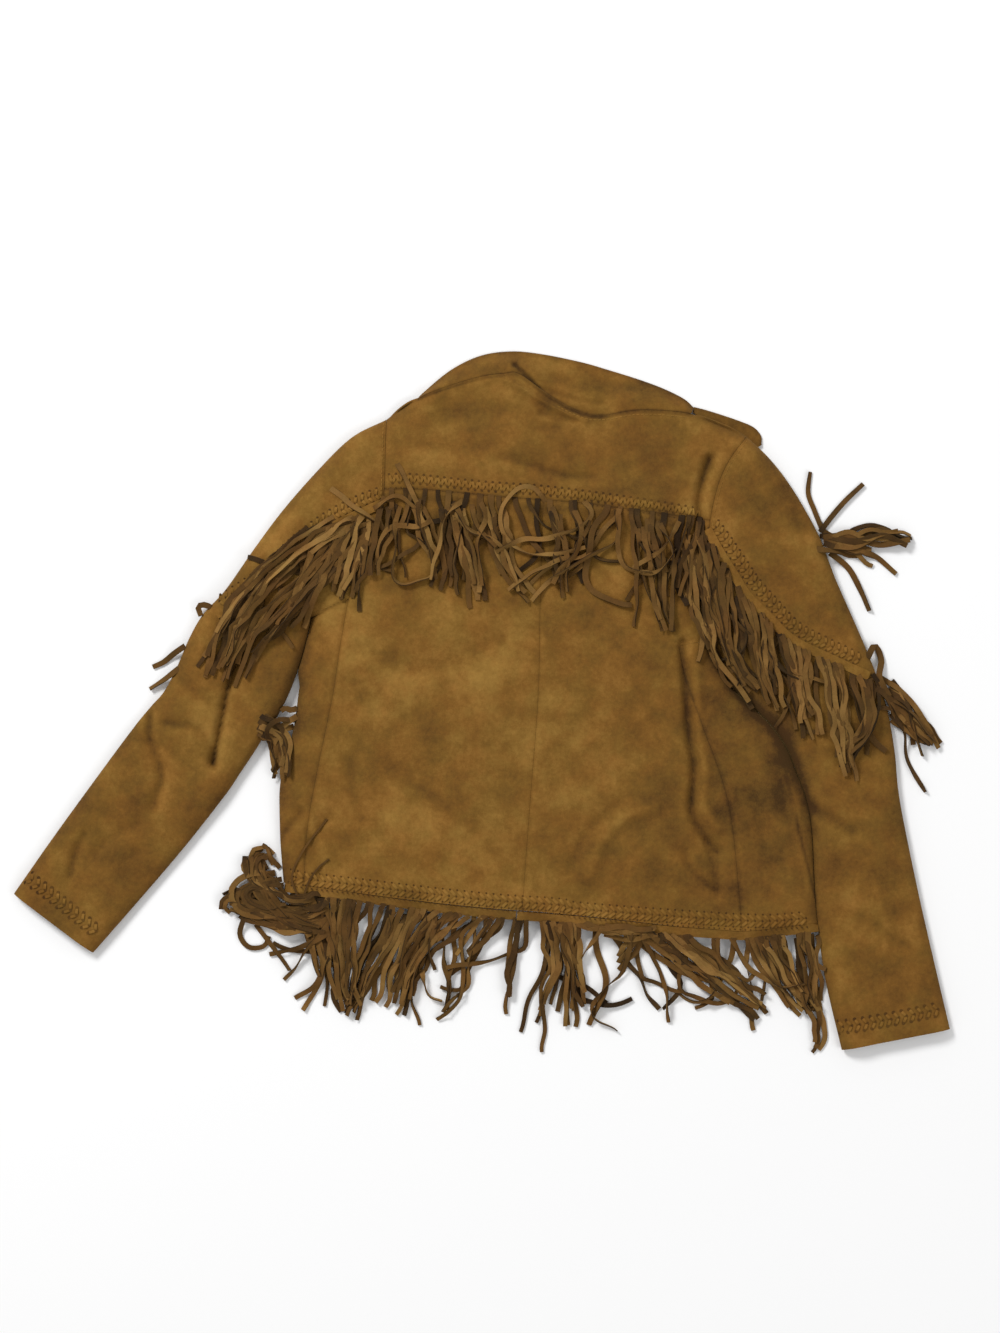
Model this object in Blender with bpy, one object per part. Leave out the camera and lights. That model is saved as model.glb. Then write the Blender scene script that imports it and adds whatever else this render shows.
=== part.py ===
"""Fringed suede jacket, lying flat on its fronts with its back up.

Plan tables are in millimetres: +Y runs from hem to collar, +X towards the right-hand sleeve.
Every pattern piece is a slab of suede bent to the form that the jacket takes as it lies.
"""

import math
import random

import bmesh
import bpy
import numpy as np

MM = 0.001

# Suede and seams
WALL = 1.8
COLLAR_WALL = 2.4
SEAM = 0.7
UNDER_SEAM = 2.6

# How the jacket lies
FOLD = 5.0
SHOULDER_LIFT = 3.2
ROLL = 22.0
CROWN = 17.0
TURN_UNDER = 20.0
MOST_SKEW = 2.2
ROW_EASE = 1.15
SLEEVE_RUN = 400.0
SIDE_RUN = 264.0
SLEEVE_DROP = 3.0
HEM_DROP = 1.2
NECK_DIP = 4.5
NECK_SPREAD = 45.0
LONG_WAVE = 0.8
SHORT_WAVE = 0.6
NORMAL_REACH = 1.5

# Fringe
STRAND_WIDTH = 5.4
STRAND_WALL = 1.5
STRAND_PITCH = 7.6
STRAND_TAPER = 0.22
STRAND_ROOM = 1.6
STRIP_DEPTH = 7.0
CLEAR = 1.2
LAYER = 2.5
LAYERS = 4
STEP = 22.0
TURN_RUN = 36.0
LIFT_RUN = 16.0
ROOT_SHARE = 0.12
SEAT = 0.3
FALL_RUN = 20.0
ATTEMPTS = 14

# Grid on which the fringe's drape is worked out
CELL = 4.0
SLOPE = 0.55
SPREADS = 12
BLURS = 4
FIELD_X = np.arange(-500, 501, CELL)
FIELD_Y = np.arange(-400, 401, CELL)

# Suede colours
GOLD = (0.42, 0.24, 0.10)
GOLD_SLEEVE = (0.40, 0.23, 0.10)
GOLD_COLLAR = (0.36, 0.20, 0.09)
GOLD_FRINGE = (0.36, 0.21, 0.11)

# Sleeve rows from armhole to cuff: outer fold x and y, inner fold x and y, share of the armhole's bow
SLEEVE_LEFT = (
    (-95, 288, -170.5, 90, 1.0),
    (-130, 270, -170.6, 89.6, 0.6),
    (-164, 237, -170.7, 89.1, 0.3),
    (-199, 197, -170.9, 88, 0.12),
    (-228, 158, -172.3, 80, 0.03),
    (-256, 118, -179.5, 51, 0),
    (-278, 94, -191, 18, 0),
    (-292, 70, -204, -8, 0),
    (-304, 42, -216, -26, 0),
    (-317, 17, -228, -45, 0),
    (-330, 2, -242, -66, 0),
    (-348, -20, -257, -88, 0),
    (-388, -74, -298, -140, 0),
    (-430, -132, -345, -195, 0),
    (-467, -185, -388, -244, 0),
)
SLEEVE_RIGHT = (
    (264, 271, 227.5, 68, 1.0),
    (286, 250, 229, 63, 0.75),
    (305, 226, 231, 56, 0.5),
    (323, 197, 235, 47, 0.25),
    (338, 168, 242, 34, 0.08),
    (352, 131, 252, 18, 0),
    (366, 99, 271, 0, 0),
    (380, 67, 289, -18, 0),
    (394, 32, 304, -40, 0),
    (405, -4, 314, -65, 0),
    (412, -44, 323, -89, 0),
    (417, -92, 329, -122, 0),
    (434, -177, 333, -195, 0),
    (451, -252, 342, -267, 0),
    (467, -320, 359, -341, 0),
)

# Seam and fold lines in plan
ARM_LEFT = ((-95, 288), (-96, 253), (-97, 218), (-100, 183), (-114, 145), (-133, 108))
ARM_LEFT_LOW = ((-133, 108), (-151, 98.5), (-170.5, 90))
ARM_RIGHT = ((264, 271), (248, 250), (237, 228), (230, 203), (226, 180), (222, 148), (222, 108), (227.5, 68))
YOKE_SEAM = ((-97, 218), (-51, 217), (20, 210), (61, 207), (102, 204), (153, 197), (227, 187))
NECK_LINE = (
    (-94, 286.5), (-64, 307.5), (-12, 324), (23, 332), (40, 332), (73, 312),
    (110, 291), (158, 296), (208, 292.5), (240, 281.5), (262, 270.5),
)
BACK_SEAM_LEFT = ((-133, 108), (-141, 61), (-148, 14), (-164, -64), (-174, -122), (-177, -176))
BACK_SEAM_RIGHT = ((196, 62), (204, 25), (222, -25), (240, -75), (250, -125), (259, -222))
CENTRE_BACK = ((61, 207), (58, 108), (56, 13), (48, -92), (40, -201))
HEM = (
    (-177, -176), (-121, -184), (-62, -192), (2, -199), (40, -202), (66, -204),
    (138, -211), (190, -217), (259, -222),
)
LEFT_FOLD = (
    (-168, 88.5), (-169.5, 72), (-175, 56), (-178, 44), (-181, 28), (-183, 16), (-185, 0), (-188, -20),
    (-193, -40), (-199, -62), (-202, -82), (-202, -107), (-201, -137), (-198, -174),
)
RIGHT_FOLD = (
    (225.5, 67), (229, 56), (239.5, 34.5), (250, 17), (269, -1), (287, -19), (301.5, -40),
    (311.5, -65), (320.5, -89), (326.5, -122), (329.5, -158), (332, -214),
)
SHOULDER_LEFT = ((-95, 288), (-64, 309))
SHOULDER_RIGHT = ((208, 294), (264, 271))
COLLAR_EDGE = (
    (-68, 313), (-59, 319), (-31, 338), (-2, 352), (28, 356.5), (58, 354), (98, 346), (126, 338),
    (158, 328), (182, 319), (202, 309), (212, 300),
)
LAPEL_EDGE = ((211.7, 301), (227, 297), (253, 288.5), (271, 281), (279, 272), (279.5, 263))
LAPEL_ROOT = ((211, 294.6), (240, 283.5), (264, 273), (271, 268), (278, 261))
FRONT_EDGE = ((66, -203), (75, 236))
LEFT_NECK = ((-94, 284.5), (-66, 303), (-48, 300), (-10, 262), (30, 242), (75, 236))
RIGHT_NECK = ((75, 236), (120, 242), (165, 268), (190, 288), (208, 289.5), (261.5, 267))

# Largest folds of the upper side: depth, half-width, then the line each one follows
CREASES = (
    (3.0, 12, ((63, 303), (118, 289))),
    (1.6, 14, ((-37, 293), (18, 297))),
    (2.6, 8, ((224, 246), (216, 219), (214, 192), (217, 176))),
    (2.6, 8, ((-227, 80), (-248, 39), (-260, -15), (-268, -55))),
    (2.0, 8, ((-331, -11), (-330, -35), (-319, -57), (-330, -97))),
    (2.4, 9, ((330, -100), (368, -121))),
    (2.0, 12, ((302, 218), (318, 178))),
    (2.2, 9, ((-160, -104), (-180, -125), (-190, -152))),
    (1.6, 12, ((-120, 60), (-60, 40), (20, 70))),
    (1.6, 14, ((120, 60), (170, 0), (230, -30))),
    (1.5, 13, ((-90, -60), (-20, -110), (30, -160))),
    (1.6, 12, ((290, 60), (340, 20), (380, 5))),
    (1.8, 10, ((360, -200), (420, -235))),
    (1.8, 10, ((-360, -80), (-400, -150), (-410, -190))),
)


def spline(table, share):
    """Smooth values of a table's columns at this share of the way down its rows."""
    rows = np.asarray(table, float)
    rows = np.vstack([2 * rows[0] - rows[1], rows, 2 * rows[-1] - rows[-2]])
    place = np.clip(np.asarray(share, float), 0, 1) * (len(rows) - 3)
    index = np.minimum(place.astype(int), len(rows) - 4)
    f = (place - index)[..., None]
    a, b, c, d = (rows[index + k] for k in range(4))
    return 0.5 * (2 * b + (c - a) * f + (2 * a - 5 * b + 4 * c - d) * f**2 + (3 * b - a - 3 * c + d) * f**3)


def curve(table):
    return spline(table, np.linspace(0, 1, 8 * (len(table) - 1) + 1))


def lengths(line):
    return np.concatenate([[0], np.cumsum(np.linalg.norm(np.diff(line, axis=0), axis=1))])


def at(line, share):
    """Points at this share of a line's length."""
    run = lengths(line)
    return np.stack([np.interp(np.asarray(share) * run[-1], run, line[:, k]) for k in (0, 1)], -1)


def share_near(line, point):
    fine = np.linspace(0, 1, 2001)
    return fine[np.argmin(np.linalg.norm(at(line, fine) - np.asarray(point), axis=1))]


def stretch(line, start, end):
    """The stretch of a line between the places nearest to two points."""
    return at(line, np.linspace(share_near(line, start), share_near(line, end), 80))


def along(line):
    return lambda share: at(line, share)


def chained(first, second, corner):
    """Two lines as one edge of a piece, with their meeting point at the share called corner."""

    def edge(share):
        share = np.asarray(share, float)
        low = at(first, np.clip(share / corner, 0, 1))
        high = at(second, np.clip((share - corner) / (1 - corner), 0, 1))
        return np.where((share < corner)[..., None], low, high)

    return edge


def smooth(x):
    x = np.clip(x, 0, 1)
    return x * x * (3 - 2 * x)


def distance(points, lines):
    """Distance in plan from each point to the nearest of these lines."""
    points = np.asarray(points, float)
    start = np.vstack([line[:-1] for line in lines])
    step = np.vstack([np.diff(line, axis=0) for line in lines])
    size = np.maximum((step**2).sum(1), 1e-9)
    flat = points.reshape(-1, 2)
    found = []
    for chunk in np.array_split(flat, max(1, len(flat) // 2000)):
        away = chunk[:, None, :] - start
        f = np.clip((away * step).sum(2) / size, 0, 1)
        found.append(np.linalg.norm(away - f[..., None] * step, axis=2).min(1))
    return np.concatenate(found).reshape(points.shape[:-1])


sleeve_left = np.array(SLEEVE_LEFT, float)
sleeve_right = np.array(SLEEVE_RIGHT, float)
outer_left, inner_left = curve(sleeve_left[:, :2]), curve(sleeve_left[:, 2:4])
outer_right, inner_right = curve(sleeve_right[:, :2]), curve(sleeve_right[:, 2:4])
arm_left, arm_left_low = curve(ARM_LEFT), curve(ARM_LEFT_LOW)
arm_right = curve(ARM_RIGHT)
yoke_seam, neck_line, centre_back = curve(YOKE_SEAM), curve(NECK_LINE), curve(CENTRE_BACK)
back_seam_left, back_seam_right, hem = curve(BACK_SEAM_LEFT), curve(BACK_SEAM_RIGHT), curve(HEM)
left_fold, right_fold = curve(LEFT_FOLD), curve(RIGHT_FOLD)
neck = stretch(neck_line, (-64, 307.5), (208, 292.5))
outline = [
    outer_left, inner_left, outer_right, inner_right, left_fold, right_fold,
    np.array(SHOULDER_LEFT, float), np.array(SHOULDER_RIGHT, float),
]
crease_lines = [(depth, half, curve(line)) for depth, half, line in CREASES]


def crown(xy, creased=True):
    """Height of the upper side away from the folds, with its soft hollows and waves."""
    x, y = xy[..., 0], xy[..., 1]
    height = CROWN - SLEEVE_DROP * smooth((np.abs(x - 65) - 200) / 160) - HEM_DROP * smooth((-110 - y) / 90)
    height = height - NECK_DIP * np.exp(-((distance(xy, [neck]) / NECK_SPREAD) ** 2))
    height = height + LONG_WAVE * np.sin(x / 31 + 1.3) * np.sin(y / 43 + 0.6)
    height = height + SHORT_WAVE * np.sin((x + 1.4 * y) / 27)
    for depth, half, line in crease_lines if creased else ():
        height = height - depth * np.exp(-((distance(xy, [line]) / half) ** 2))
    return height


def upper(xy, depth=0.0, creased=True):
    """Height of the upper side, or of the layer this deep inside it, rolled over at the folds."""
    share = np.clip((distance(xy, outline) - depth) / (ROLL - depth), 0, 1)
    return FOLD + (crown(xy, creased) - depth - FOLD) * np.sqrt(1 - (1 - share) ** 2)


def under(xy):
    """Height of the lower side, which lifts off the floor at the shoulder seams."""
    share = np.clip(distance(xy, outline[-2:]) / SHOULDER_LIFT, 0, 1)
    return SHOULDER_LIFT * (1 - np.sqrt(1 - (1 - share) ** 2))


def thick(xy, height, depth):
    """Points on a surface, moved by depth along its normal where depth is not zero."""
    slopes = []
    for k in (0, 1):
        shift = np.zeros(2)
        shift[k] = NORMAL_REACH
        slopes.append((height(xy + shift) - height(xy - shift)) / (2 * NORMAL_REACH))
    normal = np.stack([-slopes[0], -slopes[1], np.ones(slopes[0].shape)], -1)
    normal /= np.linalg.norm(normal, axis=-1, keepdims=True)
    flat = np.concatenate([xy, height(xy)[..., None]], -1)
    return flat - depth[..., None] * normal


def patch(bottom, top, left, right, seam=SEAM):
    """Plan of a four-edged piece, short of its edges by half a seam."""
    corners = [np.asarray(edge(np.float64(end))) for edge in (bottom, top) for end in (0, 1)]

    def plan(u, v):
        wide = np.linalg.norm(right(v) - left(v), axis=-1)
        tall = np.linalg.norm(top(u) - bottom(u), axis=-1)
        u = seam / 2 / wide + u * (1 - seam / wide)
        v = seam / 2 / tall + v * (1 - seam / tall)
        a, b = u[..., None], v[..., None]
        ruled = (1 - b) * bottom(u) + b * top(u) + (1 - a) * left(v) + a * right(v)
        low = (1 - a) * corners[0] + a * corners[1]
        high = (1 - a) * corners[2] + a * corners[3]
        return ruled - (1 - b) * low - b * high

    return plan


def top_piece(plan):
    return lambda u, v, w: thick(plan(u, v), upper, w * WALL)


def floor_piece(plan):
    return lambda u, v, w: thick(plan(u, v), under, -w * WALL)


def skew(along_fold, across):
    """How far a section's sizes stretch where it crosses its fold at a slant."""
    sine = np.abs(along_fold[..., 0] * across[..., 1] - along_fold[..., 1] * across[..., 0])
    sine = sine / np.linalg.norm(along_fold, axis=-1) / np.linalg.norm(across, axis=-1)
    return np.minimum(1 / np.maximum(sine, 1e-6), MOST_SKEW)[..., None]


def sleeve_tube(rows, armhole, counts):
    """A sleeve: sections from outer to inner fold, rolled at both and flat on the floor."""
    tops, arcs, floors = counts
    total = tops + 2 * arcs + floors

    def place(u, v, w):
        station = np.rint(u * total).astype(int) % total
        depth = w * WALL
        v = v**ROW_EASE * (1 - SEAM / SLEEVE_RUN) + SEAM / SLEEVE_RUN
        row = spline(rows, v)
        ahead = spline(rows, np.minimum(v + 0.01, 1)) - spline(rows, np.maximum(v - 0.01, 0))
        outer, inner, bow = row[..., :2], row[..., 2:4], row[..., 4:5]
        across = inner - outer
        width = np.linalg.norm(across, axis=-1)
        k_out, k_in = skew(ahead[..., :2], across)[..., 0], skew(ahead[..., 2:4], across)[..., 0]
        share = np.clip(station / tops, 0, 1)
        swing = (1 - np.cos(np.pi * share)) / 2
        s = depth * k_out + (width - depth * (k_out + k_in)) * swing
        second = np.clip((station - tops) / arcs, 0, 1) * math.pi / 2
        third = np.clip((station - tops - arcs) / floors, 0, 1)
        fourth = np.clip((station - tops - arcs - floors) / arcs, 0, 1) * math.pi / 2
        radius = FOLD - depth
        s = np.where(station > tops, width - (FOLD - radius * np.cos(second)) * k_in, s)
        s = np.where(station > tops + arcs, (1 - third) * (width - FOLD * k_in) + third * FOLD * k_out, s)
        last = station > tops + arcs + floors
        s = np.where(last, (FOLD - radius * np.sin(fourth)) * k_out, s)
        f = (s / width)[..., None]
        first_row = np.asarray(rows[0], float)
        bowed = armhole(f[..., 0]) - ((1 - f) * first_row[:2] + f * first_row[2:4])
        xy = outer + f * across + bow * bowed
        z = upper(xy, depth)
        z = np.where((station == 0) | (station == tops), FOLD, z)
        z = np.where(station > tops, FOLD - radius * np.sin(second), z)
        z = np.where(station >= tops + arcs, depth, z)
        z = np.where(last, FOLD - radius * np.cos(fourth), z)
        return np.concatenate([xy, z[..., None]], -1)

    return place, total


def side_section(seam_line, fold_line, counts):
    """A side panel: from its back seam over the fold and a short way under."""
    tops, arcs, floors = counts
    total = tops + arcs + floors

    def place(u, v, w):
        station = np.rint(u * total).astype(int)
        depth = w * WALL
        v = SEAM / SIDE_RUN + v * (1 - SEAM / SIDE_RUN)
        fold, seam = at(fold_line, v), at(seam_line, v)
        ahead = at(fold_line, np.minimum(v + 0.01, 1)) - at(fold_line, np.maximum(v - 0.01, 0))
        across = seam - fold
        width = np.linalg.norm(across, axis=-1)
        k = skew(ahead, across)[..., 0]
        edge = width - SEAM / 2 * k
        s = depth * k + (edge - depth * k) * (1 - np.sin(np.pi / 2 * np.clip(station / tops, 0, 1)))
        turn = np.clip((station - tops) / arcs, 0, 1) * math.pi / 2
        radius = FOLD - depth
        s = np.where(station > tops, (FOLD - radius * np.cos(turn)) * k, s)
        run = np.clip((station - tops - arcs) / floors, 0, 1)
        reach = np.maximum(TURN_UNDER, FOLD * k + 2)
        s = np.where(station > tops + arcs, (1 - run) * FOLD * k + run * (reach - SEAM / 2), s)
        xy = fold + (s / width)[..., None] * across
        z = upper(xy, depth)
        z = np.where(station == tops, FOLD, z)
        z = np.where(station > tops, FOLD - radius * np.sin(turn), z)
        return np.concatenate([xy, z[..., None]], -1)

    def floor_edge():
        v = np.linspace(0, 1, 60)
        fold, seam = at(fold_line, v), at(seam_line, v)
        ahead = at(fold_line, np.minimum(v + 0.01, 1)) - at(fold_line, np.maximum(v - 0.01, 0))
        across = seam - fold
        reach = np.maximum(TURN_UNDER, FOLD * skew(ahead, across) + 2)
        return fold + across / np.linalg.norm(across, axis=-1, keepdims=True) * reach

    return place, total, floor_edge()


def suede(name, colour):
    material = bpy.data.materials.new(name)
    material.use_nodes = True
    shader = material.node_tree.nodes["Principled BSDF"]
    shader.inputs["Base Color"].default_value = (*colour, 1)
    shader.inputs["Roughness"].default_value = 0.95
    return material


def finish(bm, name, colour, home):
    bmesh.ops.recalc_face_normals(bm, faces=bm.faces)
    if bm.calc_volume(signed=True) < 0:
        bmesh.ops.reverse_faces(bm, faces=bm.faces)
    mesh = bpy.data.meshes.new(name)
    bm.to_mesh(mesh)
    bm.free()
    obj = bpy.data.objects.new(name, mesh)
    mesh.materials.append(suede(name + "_suede", colour))
    home.objects.link(obj)


def slab(columns, rows, tube=False):
    """A flat slab in shares u, v and w, open along u where it is to close into a tube."""
    bm = bmesh.new()
    bmesh.ops.create_grid(bm, x_segments=columns, y_segments=rows, size=0.5)
    bmesh.ops.translate(bm, verts=bm.verts, vec=(0.5, 0.5, 0))
    made = bmesh.ops.extrude_face_region(bm, geom=bm.faces[:], use_keep_orig=True)
    lifted = [item for item in made["geom"] if isinstance(item, bmesh.types.BMVert)]
    bmesh.ops.translate(bm, verts=lifted, vec=(0, 0, 1))
    if tube:
        ends = [f for f in bm.faces if abs(f.calc_center_median().x - 0.5) > 0.4999]
        bmesh.ops.delete(bm, geom=ends, context="FACES")
    return bm


def shape(bm, place):
    """Moves a slab's points from shares to their places on the jacket."""
    shares = np.array([v.co for v in bm.verts])
    points = place(shares[:, 0], shares[:, 1], shares[:, 2]) * MM
    for vert, point in zip(bm.verts, points):
        vert.co = point


def cloth(name, place, columns, rows, colour, home, tube=False):
    bm = slab(columns, rows, tube)
    shape(bm, place)
    if tube:
        bmesh.ops.remove_doubles(bm, verts=bm.verts, dist=1e-6)
    finish(bm, name, colour, home)


for old in list(bpy.data.objects):
    bpy.data.objects.remove(old, do_unlink=True)
jacket = bpy.data.collections.new("fringed_suede_jacket")
bpy.context.scene.collection.children.link(jacket)

# Back: yoke, two centre panels and the side panels that roll under
shoulder_to_yoke_left = stretch(arm_left, (-97, 218), (-95, 288))
shoulder_to_yoke_right = stretch(arm_right, (227, 187), (264, 271))
yoke_left, yoke_right = along(shoulder_to_yoke_left), along(shoulder_to_yoke_right)
yoke_plan = patch(along(yoke_seam), along(neck_line), yoke_left, yoke_right)
cloth("yoke_back", top_piece(yoke_plan), 22, 6, GOLD, jacket)

arm_under_yoke = stretch(arm_left, (-133, 108), (-97, 218))
left_edge = chained(back_seam_left[::-1], arm_under_yoke, 13 / 18)
middle = centre_back[::-1]
hem_left, hem_right = stretch(hem, (-177, -176), (40, -202)), stretch(hem, (40, -202), (259, -222))
seam_left = stretch(yoke_seam, (-97, 218), (61, 207))
seam_right = stretch(yoke_seam, (61, 207), (227, 187))
back_left_plan = patch(along(hem_left), along(seam_left), left_edge, along(middle))
cloth("back_left", top_piece(back_left_plan), 11, 18, GOLD, jacket)

arm_under_yoke = stretch(arm_right, (227.5, 68), (227, 187))
right_edge = chained(back_seam_right[::-1], np.vstack([back_seam_right[:1], arm_under_yoke]), 13 / 18)
back_right_plan = patch(along(hem_right), along(seam_right), along(middle), right_edge)
cloth("back_right", top_piece(back_right_plan), 11, 18, GOLD, jacket)

side_counts = (5, 2, 1)
place, columns, under_left = side_section(back_seam_left, left_fold, side_counts)
cloth("side_left", place, columns, 15, GOLD, jacket)
place, columns, under_right = side_section(back_seam_right, right_fold, (8, 2, 1))
cloth("side_right", place, columns, 18, GOLD, jacket)

# Fronts: flat on the floor
armhole_left = np.vstack([arm_left, arm_left_low[1:]])
front_edge = np.array(FRONT_EDGE, float)
hem_front_left = np.array((under_left[-1] + (0, 3), (-60, -188), (20, -196), (66, -203)))
outer_edge = chained(under_left[::-1], stretch(armhole_left, under_left[0], (-95, 288)), 0.6)
front_hem, front_neck = along(curve(hem_front_left)), along(curve(LEFT_NECK))
front_plan = patch(front_hem, front_neck, outer_edge, along(front_edge), UNDER_SEAM)
cloth("front_left", floor_piece(front_plan), 4, 20, GOLD, jacket)

hem_front_right = np.array(((66, -203), (150, -209), (240, -217), under_right[-1] + (0, 3)))
armhole_rise = np.vstack([under_right[:1], stretch(arm_right, (227.5, 68), (264, 271))])
outer_edge = chained(under_right[::-1], armhole_rise, 0.6)
front_hem, front_neck = along(curve(hem_front_right)), along(curve(RIGHT_NECK))
front_plan = patch(front_hem, front_neck, along(front_edge), outer_edge, UNDER_SEAM)
cloth("front_right", floor_piece(front_plan), 4, 20, GOLD, jacket)

# Sleeves
sleeve_counts = (13, 2, 4)
place, columns = sleeve_tube(SLEEVE_LEFT, along(armhole_left), sleeve_counts)
cloth("sleeve_left", place, columns, 21, GOLD_SLEEVE, jacket, tube=True)
place, columns = sleeve_tube(SLEEVE_RIGHT, along(arm_right), sleeve_counts)
cloth("sleeve_right", place, columns, 21, GOLD_SLEEVE, jacket, tube=True)

# Collar and the lapel point that shows past the shoulder
collar_edge = curve(COLLAR_EDGE)
collar_root = neck + (0, 2.0)


def collar_place(u, v, w):
    plan = patch(along(collar_root), along(collar_edge), along(np.array((collar_root[0], collar_edge[0]))),
                 along(np.array((collar_root[-1], collar_edge[-1]))))
    xy = plan(u, v)
    at_neck = upper(at(neck, u))
    drop = np.cos(np.pi / 2 * v) ** 1.25 * (1 + 0.25 * np.sin(np.pi * v))
    z = COLLAR_WALL + 0.1 + (at_neck - COLLAR_WALL) * drop
    return np.concatenate([xy, (z - COLLAR_WALL * w)[..., None]], -1)


cloth("collar", collar_place, 22, 5, GOLD_COLLAR, jacket)
lapel_edge, lapel_root = curve(LAPEL_EDGE), curve(LAPEL_ROOT)
lapel_plan = patch(along(lapel_root), along(lapel_edge), along(np.array((lapel_root[0], lapel_edge[0]))),
                   along(np.array((lapel_root[-1], lapel_edge[-1]))))


def lapel_place(u, v, w):
    return np.concatenate([lapel_plan(u, v), (w * WALL)[..., None]], -1)


cloth("lapel_right", lapel_place, 10, 2, GOLD_COLLAR, jacket)


def inside(points, ring):
    """Which points lie inside a closed plan outline."""
    found = np.zeros(len(points), bool)
    x, y = points[:, 0], points[:, 1]
    for (ax, ay), (bx, by) in zip(ring, np.roll(ring, -1, axis=0)):
        cross = (ay > y) != (by > y)
        found ^= cross & (x < (bx - ax) * (y - ay) / (by - ay + 1e-12) + ax)
    return found


def drape_field():
    """Height at which a strand lies over cloth and floor: it leaves an edge at a limited slope."""
    grid = np.stack(np.meshgrid(FIELD_X, FIELD_Y, indexing="ij"), -1)
    ring = np.vstack([
        outer_left, inner_left[::-1], left_fold, curve(HEM), right_fold[::-1], inner_right,
        outer_right[::-1], neck_line[::-1],
    ])
    field = np.zeros(grid.shape[:2])
    flat = inside(grid.reshape(-1, 2), ring).reshape(field.shape)
    field[flat] = upper(grid[flat], creased=False)
    for _ in range(SPREADS):
        low = np.pad(field, 1, mode="edge")
        for i, j in ((0, 1), (2, 1), (1, 0), (1, 2), (0, 0), (0, 2), (2, 0), (2, 2)):
            far = CELL * SLOPE * math.hypot(i - 1, j - 1)
            field = np.maximum(field, low[i:i + field.shape[0], j:j + field.shape[1]] - far)
    for _ in range(BLURS):
        low = np.pad(field, 1, mode="edge")
        parts = [low[i:i + field.shape[0], j:j + field.shape[1]] for i in range(3) for j in range(3)]
        field = sum(parts) / 9
    return field


field = drape_field()


def drape(xy):
    """Height of the drape field at a point, read between its cells."""
    x = np.clip((xy[..., 0] - FIELD_X[0]) / CELL, 0, len(FIELD_X) - 1.001)
    y = np.clip((xy[..., 1] - FIELD_Y[0]) / CELL, 0, len(FIELD_Y) - 1.001)
    i, j = x.astype(int), y.astype(int)
    f, g = x - i, y - j
    low = field[i, j] * (1 - f) + field[i + 1, j] * f
    high = field[i, j + 1] * (1 - f) + field[i + 1, j + 1] * f
    return low * (1 - g) + high * g


def over_cloth(xy):
    return drape(xy) + CLEAR


def from_fold(root):
    """Height of a lock sewn into a fold: level with the fold, then down to the floor."""

    def height(xy):
        fall = smooth((distance(xy, [root]) - STRIP_DEPTH) / FALL_RUN)
        return CLEAR + (FOLD - STRAND_WALL / 2 - CLEAR) * (1 - fall)

    return height


settled = [[] for _ in range(LAYERS)]


def fits(path, layer, room):
    """Whether a strand's path keeps clear of those already in this layer, past the roots."""
    for other in settled[layer]:
        if np.linalg.norm(path[:, None] - other[None], axis=2).min() < room:
            return False
    return True


def strand_path(start, square, heading, reach, sway, rng):
    """Plan points from a root: square to the strip, then a heading that drifts and waves."""
    count = max(3, round(reach / STEP))
    drift, phase, wave = rng.uniform(-sway, sway), rng.uniform(0, math.tau), rng.uniform(45, 80)
    point, path = np.array(start, float), [np.array(start, float)]
    for k in range(count):
        run = (k + 0.5) * reach / count
        ease = smooth(run / TURN_RUN)
        swing = drift * run / reach + 0.35 * sway * math.sin(math.tau * run / wave + phase)
        turn = square + ease * (heading - square + swing)
        ahead = np.array((math.cos(math.radians(turn)), math.sin(math.radians(turn))))
        point = point + reach / count * ahead
        path.append(point)
    return np.array(path)


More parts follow.
